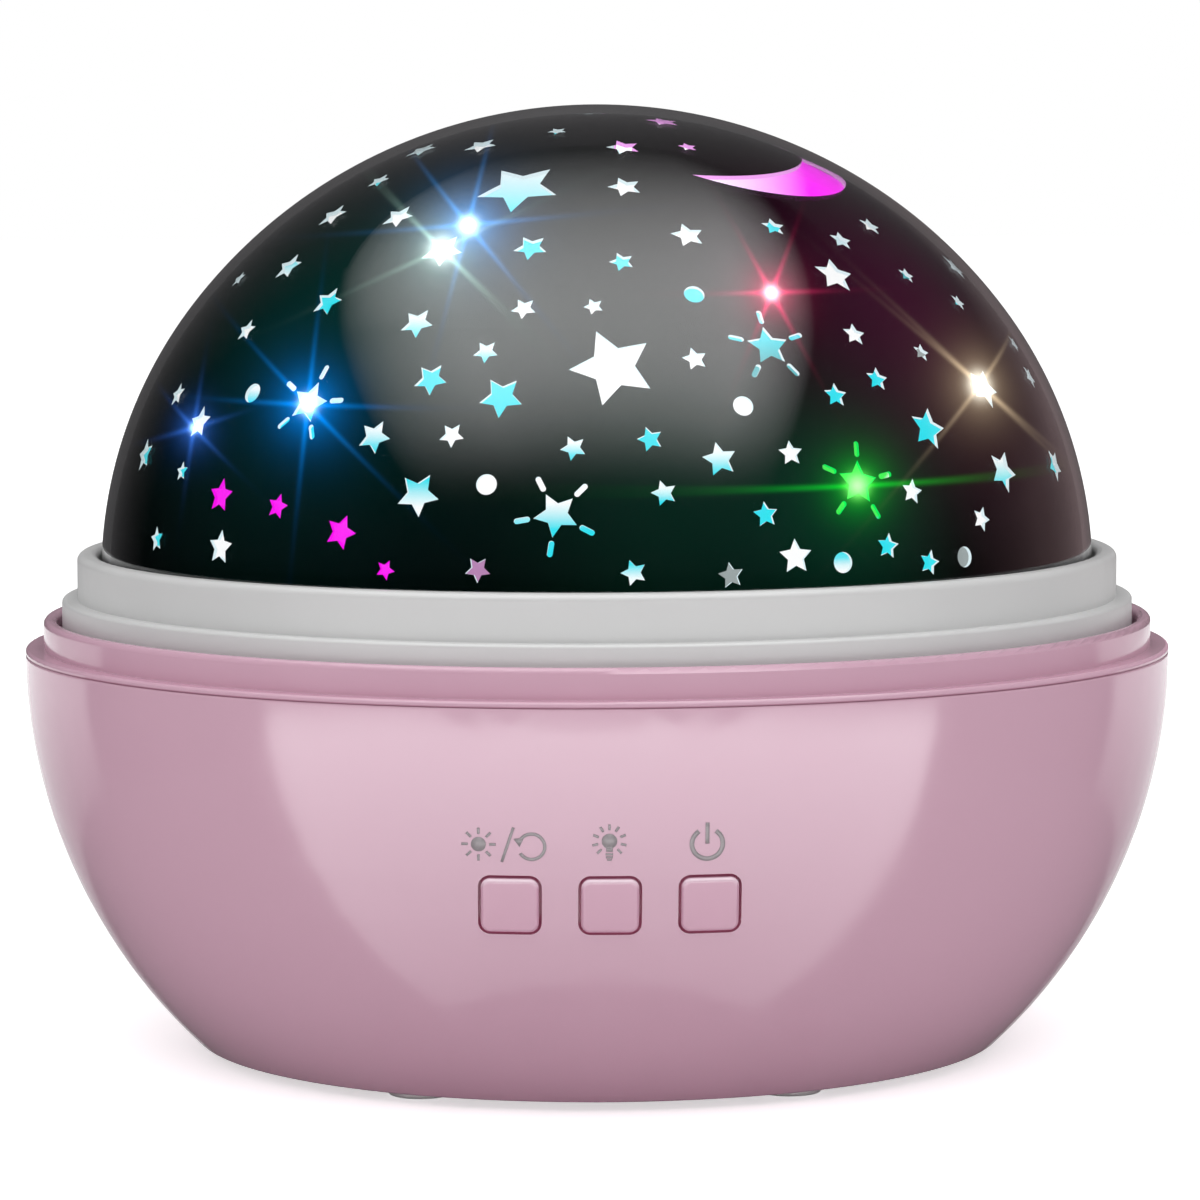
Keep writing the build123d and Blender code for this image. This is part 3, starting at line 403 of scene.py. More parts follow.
# the cut edges of the windows catch the light; tint, reach in mm and places of those that aren't white
cutEdges = {
    "tint": (0.8, 0.96, 1.0),
    "sharp": (0.75, 0.45),
    "others": (
        ((1.0, 0.0, 0.9), 2.6, [(-47.7, 12.8), (-38.3, 12), (-29.3, 9.4), (-23.5, 5.3)]),
        ((1.2, 0.5, 1.2), 15, [(49, 70)]),
        ((0.0, 0.8, 0.1), 6, [(30.7, 14.5)]),
    ),
}


def edgeLight(tree):
    coords = objectCoords(tree)
    outward = calcVector(tree, "SUBTRACT", coords, (0, 0, domeShape["centreZ"]))
    outward = calcVector(tree, "NORMALIZE", outward)
    facing = calcVector(tree, "DOT_PRODUCT", ownNormal(tree, "True Normal"), outward)
    cut = spread(tree, calc(tree, "ABSOLUTE", facing), *cutEdges["sharp"], 0.0, 1.0)
    colour = rgb(*cutEdges["tint"])
    for tint, reach, places in cutEdges["others"]:
        for place in places:
            away = calcVector(tree, "SUBTRACT", coords, domePlace(*place, domeShape["maskInset"]))
            near = calc(tree, "LESS_THAN", calcVector(tree, "LENGTH", away), reach * mm)
            colour = blendColour(tree, near, colour, rgb(*tint))
    return scaled(tree, colour, cut)


def makeMask(group):
    dark, lessDark = (0.002, 0.002, 0.002), (0.004, 0.004, 0.005)
    mat = surface("blackMask", dark, lessDark, 0.5, blotch=60, grain=1500, grainDepth=0.003, wearAndHighlight=0.0)
    tree = mat.node_tree
    shader = tree.nodes["Principled BSDF"]
    shader.inputs["Specular IOR Level"].default_value = 0.0
    lights = flareLights(tree, group) + glowLights(tree) + [edgeLight(tree)]
    plug(shader.inputs["Emission Color"], addLights(tree, lights))
    shader.inputs["Emission Strength"].default_value = 1.0
    return mat


# the clear outer dome, with faint wipe marks
clearShell = {
    "tone": (0.97, 0.985, 0.985),
    "otherTone": (0.99, 0.995, 1.0),
    "blotch": 25,
    "ior": 1.46,
    "wipes": 35,
    "wipeSpan": (0.35, 0.75),
    "gloss": (0.0, 0.025),
}


def makeShell():
    mat, tree, shader = startMaterial("clearShell")
    coords = objectCoords(tree)
    patches = noise(tree, coords, clearShell["blotch"], 3.0)
    tint = blendColour(tree, patches, rgb(*clearShell["tone"]), rgb(*clearShell["otherTone"]))
    plug(shader.inputs["Base Color"], tint)
    shader.inputs["Transmission Weight"].default_value = 1.0
    shader.inputs["IOR"].default_value = clearShell["ior"]
    wipes = noise(tree, coords, clearShell["wipes"], 4.0, 0.6)
    plug(shader.inputs["Roughness"], spread(tree, wipes, *clearShell["wipeSpan"], *clearShell["gloss"]))
    return mat


# the film behind the windows, lit from inside in its printed colours
litFilm = {
    "tone": (0.02, 0.02, 0.02),
    "speckTone": (0.9, 0.95, 1.0),
    "speck": 0.02,
    "grain": 700,
    "gloss": (0.4, 0.6),
    "power": 1.05,
}


def makeFilm(group):
    mat, tree, shader = startMaterial("litFilm")
    tint = tree.nodes.new("ShaderNodeAttribute")
    tint.attribute_name = "print"
    grain = noise(tree, objectCoords(tree), litFilm["grain"], 2.0)
    specks = spread(tree, grain, *mottle["span"], 0.0, litFilm["speck"])
    spots = blendColour(tree, specks, tint.outputs["Color"], rgb(*litFilm["speckTone"]))
    shader.inputs["Base Color"].default_value = rgb(*litFilm["tone"])
    plug(shader.inputs["Roughness"], spread(tree, grain, *mottle["span"], *litFilm["gloss"]))
    plug(shader.inputs["Emission Color"], addLights(tree, [spots] + flareLights(tree, group)))
    shader.inputs["Emission Strength"].default_value = litFilm["power"]
    return mat


# milky silicone feet
milkyFoot = {
    "tone": (0.93, 0.93, 0.92),
    "otherTone": (0.98, 0.98, 0.97),
    "cloud": 300,
    "gloss": (0.25, 0.4),
    "grain": 1600,
    "bump": 0.2,
    "grainDepth": 0.02 * mm,
    "clear": 0.2,
    "ior": 1.41,
}


def makeFoot():
    mat, tree, shader = startMaterial("milkyFoot")
    coords = objectCoords(tree)
    cloud = noise(tree, coords, milkyFoot["cloud"], 3.0)
    tint = blendColour(tree, cloud, rgb(*milkyFoot["tone"]), rgb(*milkyFoot["otherTone"]))
    plug(shader.inputs["Base Color"], tint)
    plug(shader.inputs["Roughness"], spread(tree, cloud, *mottle["span"], *milkyFoot["gloss"]))
    fine = noise(tree, coords, milkyFoot["grain"])
    plug(shader.inputs["Normal"], bump(tree, fine, milkyFoot["bump"], milkyFoot["grainDepth"]))
    shader.inputs["Transmission Weight"].default_value = milkyFoot["clear"]
    shader.inputs["IOR"].default_value = milkyFoot["ior"]
    return mat


lampLens = {"cloud": 500, "shade": 0.8, "gloss": (0.05, 0.15), "clear": 0.4}


def lens(name, tint, power):
    mat, tree, shader = startMaterial(name)
    cloud = noise(tree, objectCoords(tree), lampLens["cloud"], 2.0)
    shaded = rgb(*[lampLens["shade"] * part for part in tint])
    plug(shader.inputs["Base Color"], blendColour(tree, cloud, rgb(*tint), shaded))
    plug(shader.inputs["Roughness"], spread(tree, cloud, *mottle["span"], *lampLens["gloss"]))
    shader.inputs["Transmission Weight"].default_value = lampLens["clear"]
    shader.inputs["Emission Color"].default_value = rgb(*tint)
    shader.inputs["Emission Strength"].default_value = power
    return mat


flareGroup = makeFlareGroup()
finishes = {
    "pink_plastic": makePink(),
    "grey_plastic": surface(
        "greyCollar", (0.6, 0.6, 0.6), (0.63, 0.63, 0.63), 0.36, blotch=45, grain=1800, grainDepth=0.006
    ),
    "clear_plastic": makeShell(),
    "black_plastic": makeMask(flareGroup),
    "film": makeFilm(flareGroup),
    "gear_plastic": surface("gearPlastic", (0.78, 0.78, 0.74), (0.72, 0.72, 0.68), 0.4),
    "rubber": makeFoot(),
    "steel": surface(
        "plainSteel", (0.55, 0.55, 0.56), (0.46, 0.46, 0.47), 0.3, metal=1.0, blotch=80, grain=2500
    ),
    "screw_steel": surface(
        "zincScrew", (0.58, 0.58, 0.57), (0.45, 0.46, 0.48), 0.34, metal=1.0, blotch=120, grain=2500
    ),
    "contact_metal": surface(
        "nickelContact", (0.66, 0.62, 0.54), (0.56, 0.53, 0.47), 0.28, metal=1.0, blotch=120, grain=2500
    ),
    "board": surface("greenBoard", (0.02, 0.15, 0.06), (0.03, 0.2, 0.08), 0.35, blotch=200, grain=1500),
    "lamp_board": surface(
        "whiteBoard", (0.75, 0.75, 0.73), (0.68, 0.68, 0.66), 0.4, blotch=200, grain=1500
    ),
    "chip": surface(
        "chipResin", (0.015, 0.015, 0.016), (0.025, 0.025, 0.026), 0.55, blotch=300, grain=3000
    ),
    "switch": surface(
        "switchResin", (0.03, 0.03, 0.032), (0.04, 0.04, 0.042), 0.45, blotch=300, grain=3000
    ),
    "capacitor_sleeve": surface(
        "capacitorSleeve", (0.02, 0.03, 0.09), (0.03, 0.04, 0.12), 0.25, blotch=200
    ),
    "cell_sleeve": surface(
        "cellSleeve", (0.09, 0.09, 0.1), (0.13, 0.13, 0.14), 0.3, metal=0.4, blotch=100
    ),
    "wire": surface("redWire", (0.45, 0.04, 0.03), (0.38, 0.03, 0.025), 0.4, blotch=200),
    "red_lens": lens("redLens", (1.0, 0.08, 0.12), 1.2),
    "green_lens": lens("greenLens", (0.06, 1.0, 0.2), 1.0),
    "blue_lens": lens("blueLens", (0.08, 0.3, 1.0), 1.4),
    "white_lens": lens("whiteLens", (1.0, 0.95, 0.85), 1.2),
}
slotOf = {part["node"]: part["material_slot"] for part in frame["record"]["subparts"]}
for name, node in nodes.items():
    for slot in node.material_slots:
        slot.material = finishes[slotOf[name]]
print("finishes:", len(finishes))


def newPiece(bm, name, mat):
    mesh = bpy.data.meshes.new(name)
    bm.to_mesh(mesh)
    bm.free()
    mesh.materials.append(mat)
    piece = bpy.data.objects.new(name, mesh)
    bpy.context.scene.collection.objects.link(piece)
    return piece


def keepPiece(bm, name, body, mat):
    piece = newPiece(bm, name, mat)
    piece.data.shade_smooth()
    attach(piece, body)
    return piece


def onlyVerts(geometry):
    return [g for g in geometry if isinstance(g, bmesh.types.BMVert)]


# a skin of the dome, set in from its outside: skirt, side curve and crown, spun round
def spinDome(inset, rounds, sideSteps, crownSteps):
    bm = bmesh.new()
    flat = domeShape["radius"] - domeShape["rise"]
    sideMiddle = (domeShape["sideShare"] * flat, 0, domeShape["centreZ"])
    crownMiddle = (0, 0, domeShape["centreZ"] - domeShape["crownShare"] * flat)
    join = math.atan2(domeShape["crownShare"], domeShape["sideShare"])
    foot = bm.verts.new((domeShape["radius"] - inset, 0, domeShape["footZ"]))
    skirt = bmesh.ops.extrude_vert_indiv(bm, verts=[foot])["verts"]
    skirt[0].co.z = domeShape["centreZ"]
    side = bmesh.ops.spin(
        bm, geom=skirt, cent=sideMiddle, axis=(0, -1, 0), angle=join, steps=sideSteps
    )["geom_last"]
    left = math.pi / 2 - join
    bmesh.ops.spin(
        bm, geom=onlyVerts(side), cent=crownMiddle, axis=(0, -1, 0), angle=left, steps=crownSteps
    )
    bmesh.ops.spin(
        bm, geom=bm.verts[:] + bm.edges[:], axis=(0, 0, 1), angle=math.tau, steps=rounds, use_merge=True
    )
    bmesh.ops.remove_doubles(bm, verts=bm.verts[:], dist=domeShape["merge"])
    bmesh.ops.recalc_face_normals(bm, faces=bm.faces[:])
    return bm


def thicken(piece, thickness, offset):
    wall = piece.modifiers.new("wall", "SOLIDIFY")
    wall.thickness = thickness
    wall.offset = offset
    wall.use_even_offset = True


domeSkin = spinDome(0, *domeShape["shellSteps"])
domeShell = keepPiece(domeSkin, "domeShell", "dome", finishes["clear_plastic"])
thicken(domeShell, domeShape["wall"], -1)
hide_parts("clear_dome")
print("dome shell:", len(domeShell.data.polygons), "faces")

# colours that the windows show, and the windows as they are seen: top colour, bottom colour, size, places
filmPrint = {
    "inks": {
        "c": (0.0, 0.75, 0.86),
        "w": (1.0, 1.0, 1.0),
        "m": (1.0, 0.0, 0.9),
        "p": (0.62, 0.8, 0.85),
        "l": (0.45, 0.2, 0.42),
        "g": (0.3, 0.34, 0.34),
        "d": (0.05, 0.42, 0.46),
        "y": (1.0, 0.93, 0.75),
        "e": (0.05, 0.8, 0.08),
    },
    "large": (4.6, {"wc": [(-16, 57.4)], "ww": [(2.1, 29.5)]}),
    "big": (2.4, {
        "ww": [(-25.1, 45.9), (38.1, 41.6)],
        "cc": [(-11.4, 25.7), (42.8, 20.8)],
        "yy": [(56.5, 25.2)],
        "cw": [(-20.2, 14)],
        "wc": [(54.6, 15), (-4.4, 11.9), (-37, 24.5)],
        "cd": [(22.7, 31.9)],
        "ee": [(30.8, 14.9)],
    }),
    "medium": (1.9, {
        "cw": [(-58.1, 66), (-54.9, 42.7)],
        "ww": [
            (-38.1, 51.5), (-56, 51.4), (6.1, 57.5), (15.5, 48.4), (22.1, 6.7), (-55.6, 21.2),
            (-35.9, 67.4), (-46.6, 6.8), (-4, 83.5), (33.7, 76), (73.7, 41.7),
        ],
        "cc": [(-40.9, 37.8), (-20.7, 27.8), (-10.4, 46.5), (69.1, 14.8), (-67.9, 16.5), (8.1, 67)],
        "wc": [(-24.6, 35.1), (-26.6, 20.6), (14.1, 18.1)],
        "mm": [(-29.3, 9.4), (-47.7, 12.8)],
    }),
    "small": (1.4, {
        "cc": [
            (-54.7, 58.4), (4, 44.2), (32.1, 49.6), (6.2, 20.6), (-59.6, 6.9), (18.9, 11.6),
            (30.2, 25.4), (37.1, 27.2), (33.8, 7.4), (39.5, 5.2),
        ],
        "ww": [
            (-54.5, 33.3), (-9.9, 37.3), (12.5, 30.4), (55.7, 49.2), (36.2, 33.1), (-64.2, 24.3),
            (-16.9, 21), (22.7, 18.6), (72.8, 25.8), (38.1, 13.5), (48.6, 9.7),
        ],
        "wc": [(-14.1, 31.4), (-2.6, 19.6), (7.5, 14.3)],
        "cw": [(4, 5.3)],
        "pp": [(44.5, 47)],
        "mm": [(-38.3, 12)],
        "ll": [(-12.9, 5.6)],
        "gg": [(14.6, 4.8)],
    }),
    "tiny": (1.1, {
        "cc": [(-68.2, 40.4), (-14.2, 72.2), (62.8, 36.7), (-56.4, 15.2)],
        "ww": [(27.5, 66.9), (-0.3, 37.6)],
        "dd": [(53.7, 41.1), (74.2, 30.2)],
        "gg": [(46.6, 30.3)],
        "mm": [(-23.5, 5.3)],
    }),
    "dots": (1.1, {
        "cc": [(14, 39.2)],
        "wc": [(-47, 25.3)],
        "ww": [(17.7, 24.4), (-12.3, 15.3)],
        "cw": [(27.8, 5.8)],
        "gg": [(45, 5.5)],
    }),
    "moon": {
        "place": (49, 70),
        "radius": 14.8,
        "span": 1.5,
        "stops": (0.25, 0.6, 0.9),
        "inks": ((1.4, 1.4, 1.4), (1.3, 0.75, 1.4), (1.4, 0.0, 1.3)),
    },
    "copies": (0, 135, 225),
    "blend": 1.1,
    "chunk": 4000,
}


def printFilm(piece):
    middles, tops, bottoms, sizes = [], [], [], []
    for turn in filmPrint["copies"]:
        for kind in ("large", "big", "medium", "small", "tiny", "dots"):
            size, groups = filmPrint[kind]
            for pair, places in groups.items():
                for azimuth, height in places:
                    middles.append(domePlace(azimuth + turn, height, domeShape["filmInset"]))
                    tops.append(filmPrint["inks"][pair[0]])
                    bottoms.append(filmPrint["inks"][pair[1]])
                    sizes.append(size * mm)
    middles, tops, bottoms, sizes = (np.array(table) for table in (middles, tops, bottoms, sizes))
    mesh = piece.data
    points = np.empty(len(mesh.vertices) * 3)
    mesh.vertices.foreach_get("co", points)
    points = points.reshape(-1, 3)
    colours = np.ones((len(points), 4))
    chunk = filmPrint["chunk"]
    for start in range(0, len(points), chunk):
        part = points[start:start + chunk]
        away = np.linalg.norm(part[:, None, :] - middles[None, :, :], axis=2)
        near = np.argmin(away - sizes, axis=1)
        up = (part[:, 2] - middles[near, 2]) / sizes[near]
        share = np.clip(0.5 + up / filmPrint["blend"], 0, 1)[:, None]
        colours[start:start + chunk, :3] = bottoms[near] + (tops[near] - bottoms[near]) * share
    moon = filmPrint["moon"]
    middle = np.array(domePlace(*moon["place"], domeShape["filmInset"]))
    inside = np.linalg.norm(points - middle, axis=1) < moon["radius"] * mm
    span = moon["span"] * moon["radius"] * mm
    along = np.clip(0.5 + (points[inside, 0] - middle[0]) / span, 0, 1)
    for channel, levels in enumerate(zip(*moon["inks"])):
        colours[inside, channel] = np.interp(along, moon["stops"], levels)
    layer = mesh.attributes.new("print", "FLOAT_COLOR", "POINT")
    layer.data.foreach_set("color", colours.ravel())


filmSkin = spinDome(domeShape["filmInset"], *domeShape["filmSteps"])
starFilm = keepPiece(filmSkin, "starFilm", "dome", finishes["film"])
printFilm(starFilm)
thicken(starFilm, domeShape["filmWall"], -1)
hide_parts("colour_film")
print("star film:", len(starFilm.data.polygons), "faces")

# printed pictograms over the buttons, flat first and then laid on the bowl; sizes in mm
pictograms = {
    "ink": (0.27, 0.235, 0.25),
    "otherInk": (0.2295, 0.19975, 0.2125),
    "lift": 0.01 * mm,
    "ply": 0.03 * mm,
    "sun": {"place": (-13.56, 31.08), "disc": 0.77, "rays": 8, "from": 1.1, "to": 1.76, "width": 0.26},
    "slash": {"from": (-11.17, 29.22), "to": (-9.96, 32.92), "width": 0.29},
    "turnArrow": {
        "place": (-8.1, 30.89), "radius": 1.36, "width": 0.33, "start": 212, "sweep": 296,
        "head": 0.62, "headOut": 0.05, "headOn": 8, "headTurn": 185,
    },
    "bulb": {"place": (-0.1, 31.5), "disc": 0.8, "from": 1.2, "to": 1.8, "width": 0.25},
    "bulbFoot": ((-0.835, 0.7, 0.57), (-1.4, 0.78, 0.2), (-1.72, 0.72, 0.2), (-2.0, 0.48, 0.16)),
    "bulbRays": (90, 58, 122, 22, 158, -14, 194, -46, 226),
    "power": {
        "place": (10.0, 31.07), "radius": 1.6, "width": 0.47, "gap": 66,
        "bar": (0.02, 2.25), "barWidth": 0.4,
    },
}


def bowlFront(x, z):
    down = bowlShape["seamZ"] - z
    reach = bowlShape["sideCentre"] + math.sqrt(bowlShape["sideRadius"] ** 2 - down**2)
    return -math.sqrt(reach**2 - x**2)


def printDisc(bm, x, z, radius, segments=32):
    bmesh.ops.create_circle(
        bm, cap_ends=True, segments=segments, radius=radius, matrix=Matrix.Translation((x, z, 0))
    )


def printBar(bm, start, end, width):
    start, end = Vector((*start, 0)), Vector((*end, 0))
    run = end - start
    turn = Matrix.Rotation(math.atan2(run.y, run.x), 4, "Z")
    size = Matrix.Diagonal((run.length, width, 1, 1))
    bmesh.ops.create_grid(
        bm, x_segments=4, y_segments=1, size=0.5, matrix=Matrix.Translation((start + end) / 2) @ turn @ size
    )


def printArc(bm, x, z, radius, width, startAngle, sweep):
    aim = Vector((math.cos(math.radians(startAngle)), math.sin(math.radians(startAngle)), 0))
    middle = Vector((x, z, 0))
    ends = [bm.verts.new(middle + aim * (radius + width * half)) for half in (-0.5, 0.5)]
    line = bm.edges.new(ends)
    bmesh.ops.spin(
        bm, geom=ends + [line], cent=middle, axis=(0, 0, 1), angle=math.radians(sweep), steps=48
    )


def polar(place, radius, angle):
    return (
        place[0] + radius * math.cos(math.radians(angle)),
        place[1] + radius * math.sin(math.radians(angle)),
    )


def printRay(bm, shape, angle):
    start, end = (polar(shape["place"], shape[label], angle) for label in ("from", "to"))
    printBar(bm, start, end, shape["width"])


def drawPictograms():
    bm = bmesh.new()
    sun = pictograms["sun"]
    printDisc(bm, *sun["place"], sun["disc"])
    for number in range(sun["rays"]):
        printRay(bm, sun, 360 / sun["rays"] * number)
    slash = pictograms["slash"]
    printBar(bm, slash["from"], slash["to"], slash["width"])
    arrow = pictograms["turnArrow"]
    printArc(bm, *arrow["place"], arrow["radius"], arrow["width"], arrow["start"], arrow["sweep"])
    headAngle = arrow["start"] + arrow["sweep"] + arrow["headOn"]
    tip = polar(arrow["place"], arrow["radius"] + arrow["headOut"], headAngle)
    bmesh.ops.create_circle(
        bm,
        cap_ends=True,
        segments=3,
        radius=arrow["head"],
        matrix=Matrix.Translation((*tip, 0)) @ Matrix.Rotation(math.radians(arrow["headTurn"]), 4, "Z"),
    )
    bulb = pictograms["bulb"]
    printDisc(bm, *bulb["place"], bulb["disc"])
    across, up = bulb["place"]
    for low, wide, tall in pictograms["bulbFoot"]:
        printBar(bm, (across - wide / 2, up + low), (across + wide / 2, up + low), tall)
    for angle in pictograms["bulbRays"]:
        printRay(bm, bulb, angle)
    power = pictograms["power"]
    firstAngle = 90 + power["gap"] / 2
    printArc(bm, *power["place"], power["radius"], power["width"], firstAngle, 360 - power["gap"])
    across, up = power["place"]
    printBar(bm, (across, up + power["bar"][0]), (across, up + power["bar"][1]), power["barWidth"])
    turned = [face for face in bm.faces if face.normal.z < 0]
    bmesh.ops.reverse_faces(bm, faces=turned)
    for vert in bm.verts:
        x, z = vert.co.x * mm, vert.co.y * mm
        vert.co = (x, bowlFront(x, z) - pictograms["lift"], z)
    return bm


ink = surface(
    "greyInk", pictograms["ink"], pictograms["otherInk"], 0.4, blotch=900, grain=3000, grainDepth=0.002
)
frontPrint = keepPiece(drawPictograms(), "frontPrint", "base", ink)
thicken(frontPrint, pictograms["ply"], 1)
print("front print:", len(frontPrint.data.polygons), "faces")

# camera where the photograph was taken from, about 0.6 m in front and a little above
cameraPlace = {
    "turn": -1.17,
    "distance": 600 * mm,
    "height": 105.6 * mm,
    "dip": 5.24,
    "roll": -0.2,
    "lens": 158.1,
    "sensor": 36,
    "shift": 3 / 1200,
    "clip": 50 * mm,
}


def addCamera():
    turn = math.radians(cameraPlace["turn"])
    camera = bpy.data.objects.new("camera", bpy.data.cameras.new("camera"))
    bpy.context.scene.collection.objects.link(camera)
    camera.matrix_world = (
        Matrix.Translation((
            cameraPlace["distance"] * math.sin(turn),
            -cameraPlace["distance"] * math.cos(turn),
            cameraPlace["height"],
        ))
        @ Matrix.Rotation(turn, 4, "Z")
        @ Matrix.Rotation(math.radians(90 - cameraPlace["dip"]), 4, "X")
        @ Matrix.Rotation(math.radians(cameraPlace["roll"]), 4, "Z")
    )
    camera.data.lens = cameraPlace["lens"]
    camera.data.sensor_width = cameraPlace["sensor"]
    camera.data.shift_x = cameraPlace["shift"]
    camera.data.clip_start = cameraPlace["clip"]
    bpy.context.scene.camera = camera


addCamera()
print("camera set")

# the studio: white sweep and surroundings, one soft overhead light, and cards that only show in gloss
studio = {
    "ambient": 0.6,
    "floorTone": (0.86, 0.86, 0.86),
    "floorRough": 0.7,
    "floorLift": 0.56,
    "floorSize": 4,
    "topLight": {"place": (0, -0.35, 1.0), "aim": (0, 0, 0.05), "size": (1.6, 1.4), "power": 9.0},
    "tent": 0.003,
    "tentRadius": 9,
    "cardRadius": 2,
    "overCard": {
        "height": 1.5,
        "width": 5.0,
        "length": 6.2,
        "farEdge": 1.2,
        "middle": (-0.13, -0.3),
        "power": 3.0,
        "falls": (0.6, 0.78),
        "bend": 0.9,
        "halfWidth": 0.89,
        "taper": 0.45,
        "leftFade": (-0.93, -0.32),
        "rightFade": (0.97, 0.6),
    },
    "cards": {
        "frontCard": {"turns": (-68, 68), "heights": (-66, -8), "powers": (1.0, 5.4)},
        "sideCard": {"turns": (70, 290), "heights": (-60, -16), "powers": (0.08, 0.1)},
        "backCard": {"turns": (122, 238), "heights": (-16, -4), "powers": (0.35, 1.2)},
    },
    "rimCard": {"turns": (88, 234), "heights": (-4, 66)},
    "rims": {
        "back": {
            "middle": 0, "reach": (2, 54), "fade": (1.45, 1.82), "power": 0.1, "tint": (1.0, 0.97, 1.0)
        },
        "right": {
            "middle": 47, "reach": (12, 44), "fade": (0.3, 0.75), "power": 0.17, "tint": (1.0, 0.66, 0.68)
        },
    },
}


def seenDirectly(tree):
    path = tree.nodes.new("ShaderNodeLightPath").outputs
    seen = calc(tree, "MAXIMUM", path["Is Camera Ray"], path["Is Glossy Ray"])
    return calc(tree, "MAXIMUM", seen, path["Is Transmission Ray"])


def addWorld():
    world = bpy.data.worlds.new("studio")
    world.use_nodes = True
    bpy.context.scene.world = world
    tree = world.node_tree
    back = tree.nodes["Background"]
    back.inputs["Color"].default_value = rgb(1.0, 1.0, 1.0)
    plug(back.inputs["Strength"], spread(tree, seenDirectly(tree), 0.0, 1.0, studio["ambient"], 1.0))


def onlyGloss(piece):
    for kind in ("camera", "diffuse", "volume_scatter", "shadow"):
        setattr(piece, f"visible_{kind}", False)


def glowing(name, power):
    mat, tree, shader = startMaterial(name)
    shader.inputs["Base Color"].default_value = rgb(0.0, 0.0, 0.0)
    shader.inputs["Specular IOR Level"].default_value = 0.0
    shader.inputs["Emission Color"].default_value = rgb(1.0, 1.0, 1.0)
    shader.inputs["Emission Strength"].default_value = power
    return mat, tree, shader.inputs["Emission Strength"]


def addFloor():
    bm = bmesh.new()
    bmesh.ops.create_grid(bm, x_segments=1, y_segments=1, size=studio["floorSize"])
    mat, tree, shader = startMaterial("paleFloor")
    shader.inputs["Base Color"].default_value = rgb(*studio["floorTone"])
    shader.inputs["Roughness"].default_value = studio["floorRough"]
    shader.inputs["Specular IOR Level"].default_value = 0.0
    shader.inputs["Emission Color"].default_value = rgb(1.0, 1.0, 1.0)
    lift = spread(tree, seenDirectly(tree), 0.0, 1.0, 0.0, studio["floorLift"])
    plug(shader.inputs["Emission Strength"], lift)
    floor = newPiece(bm, "floor", mat)
    floor.visible_glossy = False
    floor.visible_transmission = False


# the overhead softbox as the dome mirrors it: bright in the middle, wider and dimmer towards the camera
def addOverCard():
    over = studio["overCard"]
    high = over["height"]
    bm = bmesh.new()
    bmesh.ops.create_grid(bm, x_segments=1, y_segments=1, size=high / 2)
    bmesh.ops.scale(bm, vec=(over["width"], over["length"], 1), verts=bm.verts[:])
    back = (over["farEdge"] - over["length"] / 2) * high
    bmesh.ops.translate(bm, vec=(0, back, high), verts=bm.verts[:])
    mat, tree, strength = glowing("overCard", over["power"])
    across, along = (calc(tree, "DIVIDE", axis, high) for axis in axes(tree)[:2])
    off = calc(tree, "SUBTRACT", along, over["middle"][1])
    bend = calc(tree, "MULTIPLY", squared(tree, across), over["bend"])
    behind = calc(tree, "DIVIDE", calc(tree, "SUBTRACT", off, bend), over["falls"][0])
    before = calc(tree, "DIVIDE", off, -over["falls"][1])
    far = calc(tree, "MAXIMUM", behind, before)
    level = decay(tree, squared(tree, far))
    half = calc(tree, "SUBTRACT", over["halfWidth"], calc(tree, "MULTIPLY", along, over["taper"]))
    share = calc(tree, "DIVIDE", calc(tree, "SUBTRACT", across, over["middle"][0]), half)
    for ends in (over["leftFade"], over["rightFade"]):
        level = calc(tree, "MULTIPLY", level, spread(tree, share, *ends, 0.0, 1.0))
    plug(strength, calc(tree, "MULTIPLY", level, over["power"]))
    onlyGloss(newPiece(bm, "overCard", mat))


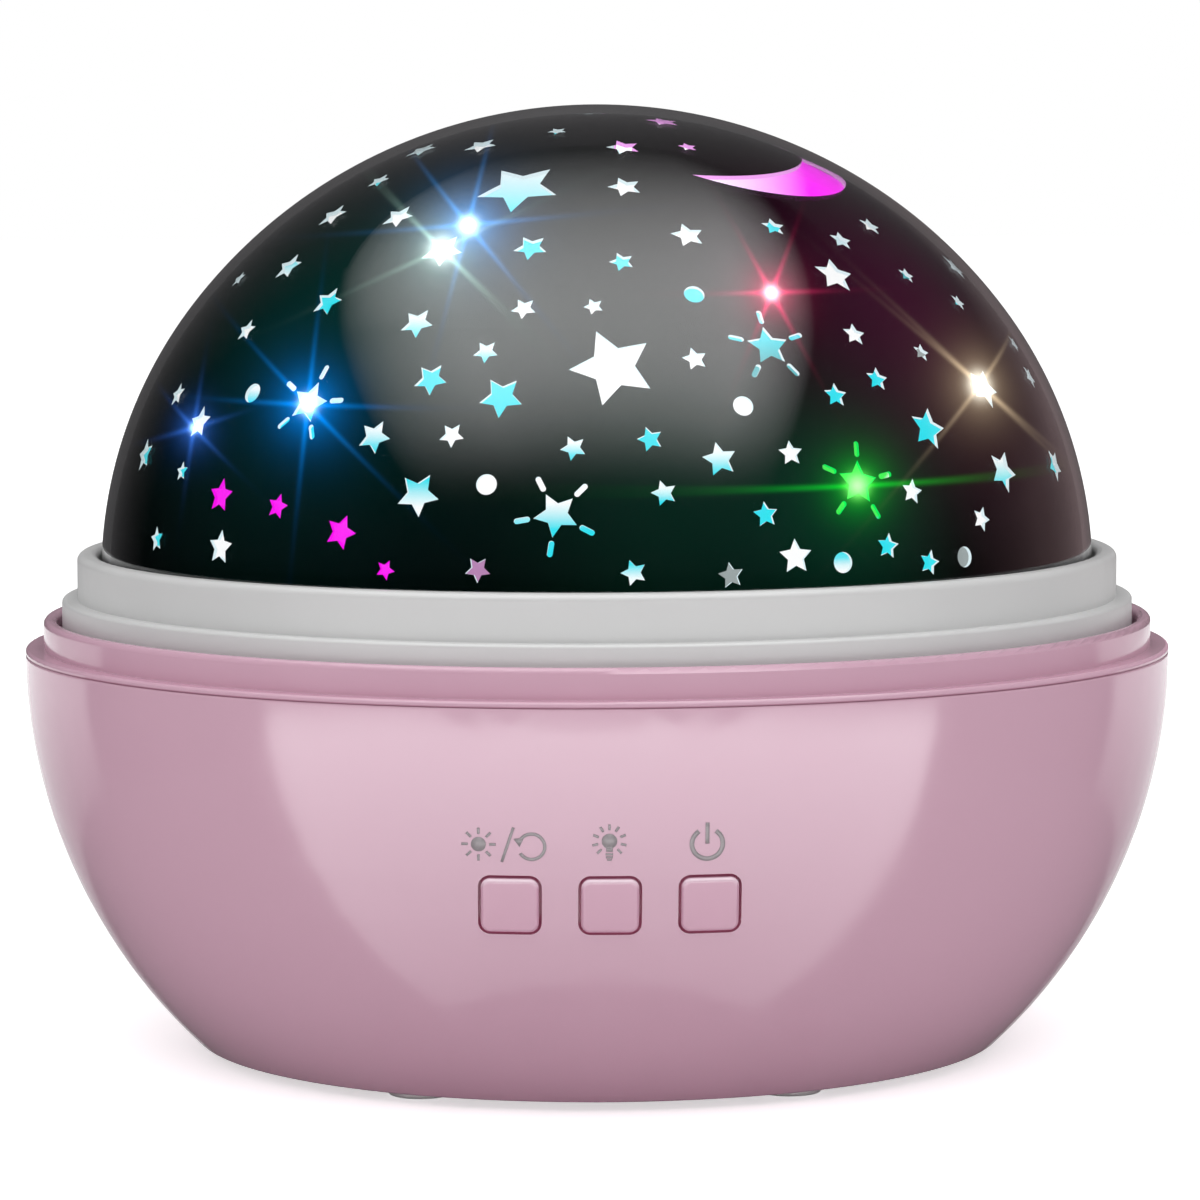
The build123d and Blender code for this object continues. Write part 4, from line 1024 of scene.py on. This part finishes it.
# a piece of a sphere round the lamp, between two turns and two heights
def curvedCard(card):
    bm = bmesh.new()
    low, high = (math.radians(height) for height in card["heights"])
    first, last = (math.radians(turn) for turn in card["turns"])
    far = studio["cardRadius"]
    start = bm.verts.new((0, -far * math.cos(low), far * math.sin(low)))
    bmesh.ops.spin(bm, geom=[start], axis=(-1, 0, 0), angle=high - low, steps=12)
    bmesh.ops.rotate(bm, verts=bm.verts[:], matrix=Matrix.Rotation(first, 3, "Z"))
    bmesh.ops.spin(bm, geom=bm.verts[:] + bm.edges[:], axis=(0, 0, 1), angle=last - first, steps=24)
    return bm


def addCards():
    bm = bmesh.new()
    bmesh.ops.create_uvsphere(bm, u_segments=32, v_segments=16, radius=studio["tentRadius"])
    onlyGloss(newPiece(bm, "darkTent", glowing("tentCloth", studio["tent"])[0]))
    addOverCard()
    for name, card in studio["cards"].items():
        mat, tree, strength = glowing(name, card["powers"][1])
        low, high = (studio["cardRadius"] * math.sin(math.radians(height)) for height in card["heights"])
        plug(strength, spread(tree, axes(tree)[2], low, high, *card["powers"]))
        onlyGloss(newPiece(curvedCard(card), name, mat))
    mat, tree = glowing("rimCard", 1.0)[:2]
    x, y, z = axes(tree)
    lights = []
    for rim in studio["rims"].values():
        off = calc(tree, "SUBTRACT", calc(tree, "ARCTAN2", x, y), math.radians(rim["middle"]))
        near, far = (math.radians(reach) for reach in rim["reach"])
        level = spread(tree, calc(tree, "ABSOLUTE", off), near, far, rim["power"], 0.0)
        level = calc(tree, "MULTIPLY", level, spread(tree, z, *rim["fade"], 1.0, 0.0))
        lights.append(scaled(tree, rim["tint"], level))
    plug(tree.nodes["Principled BSDF"].inputs["Emission Color"], addLights(tree, lights))
    onlyGloss(newPiece(curvedCard(studio["rimCard"]), "rimCard", mat))


def addLight(name, place, aim, size, power):
    lamp = bpy.data.lights.new(name, "AREA")
    lamp.shape = "RECTANGLE"
    lamp.size, lamp.size_y = size
    lamp.energy = power
    light = bpy.data.objects.new(name, lamp)
    bpy.context.scene.collection.objects.link(light)
    facing = (Vector(aim) - Vector(place)).to_track_quat("-Z", "Y")
    light.matrix_world = Matrix.Translation(place) @ facing.to_matrix().to_4x4()
    light.visible_glossy = False
    light.visible_transmission = False
    light.visible_camera = False


addWorld()
addFloor()
addCards()
addLight("topLight", **studio["topLight"])
bpy.context.scene.view_settings.view_transform = "Standard"
print("studio set")
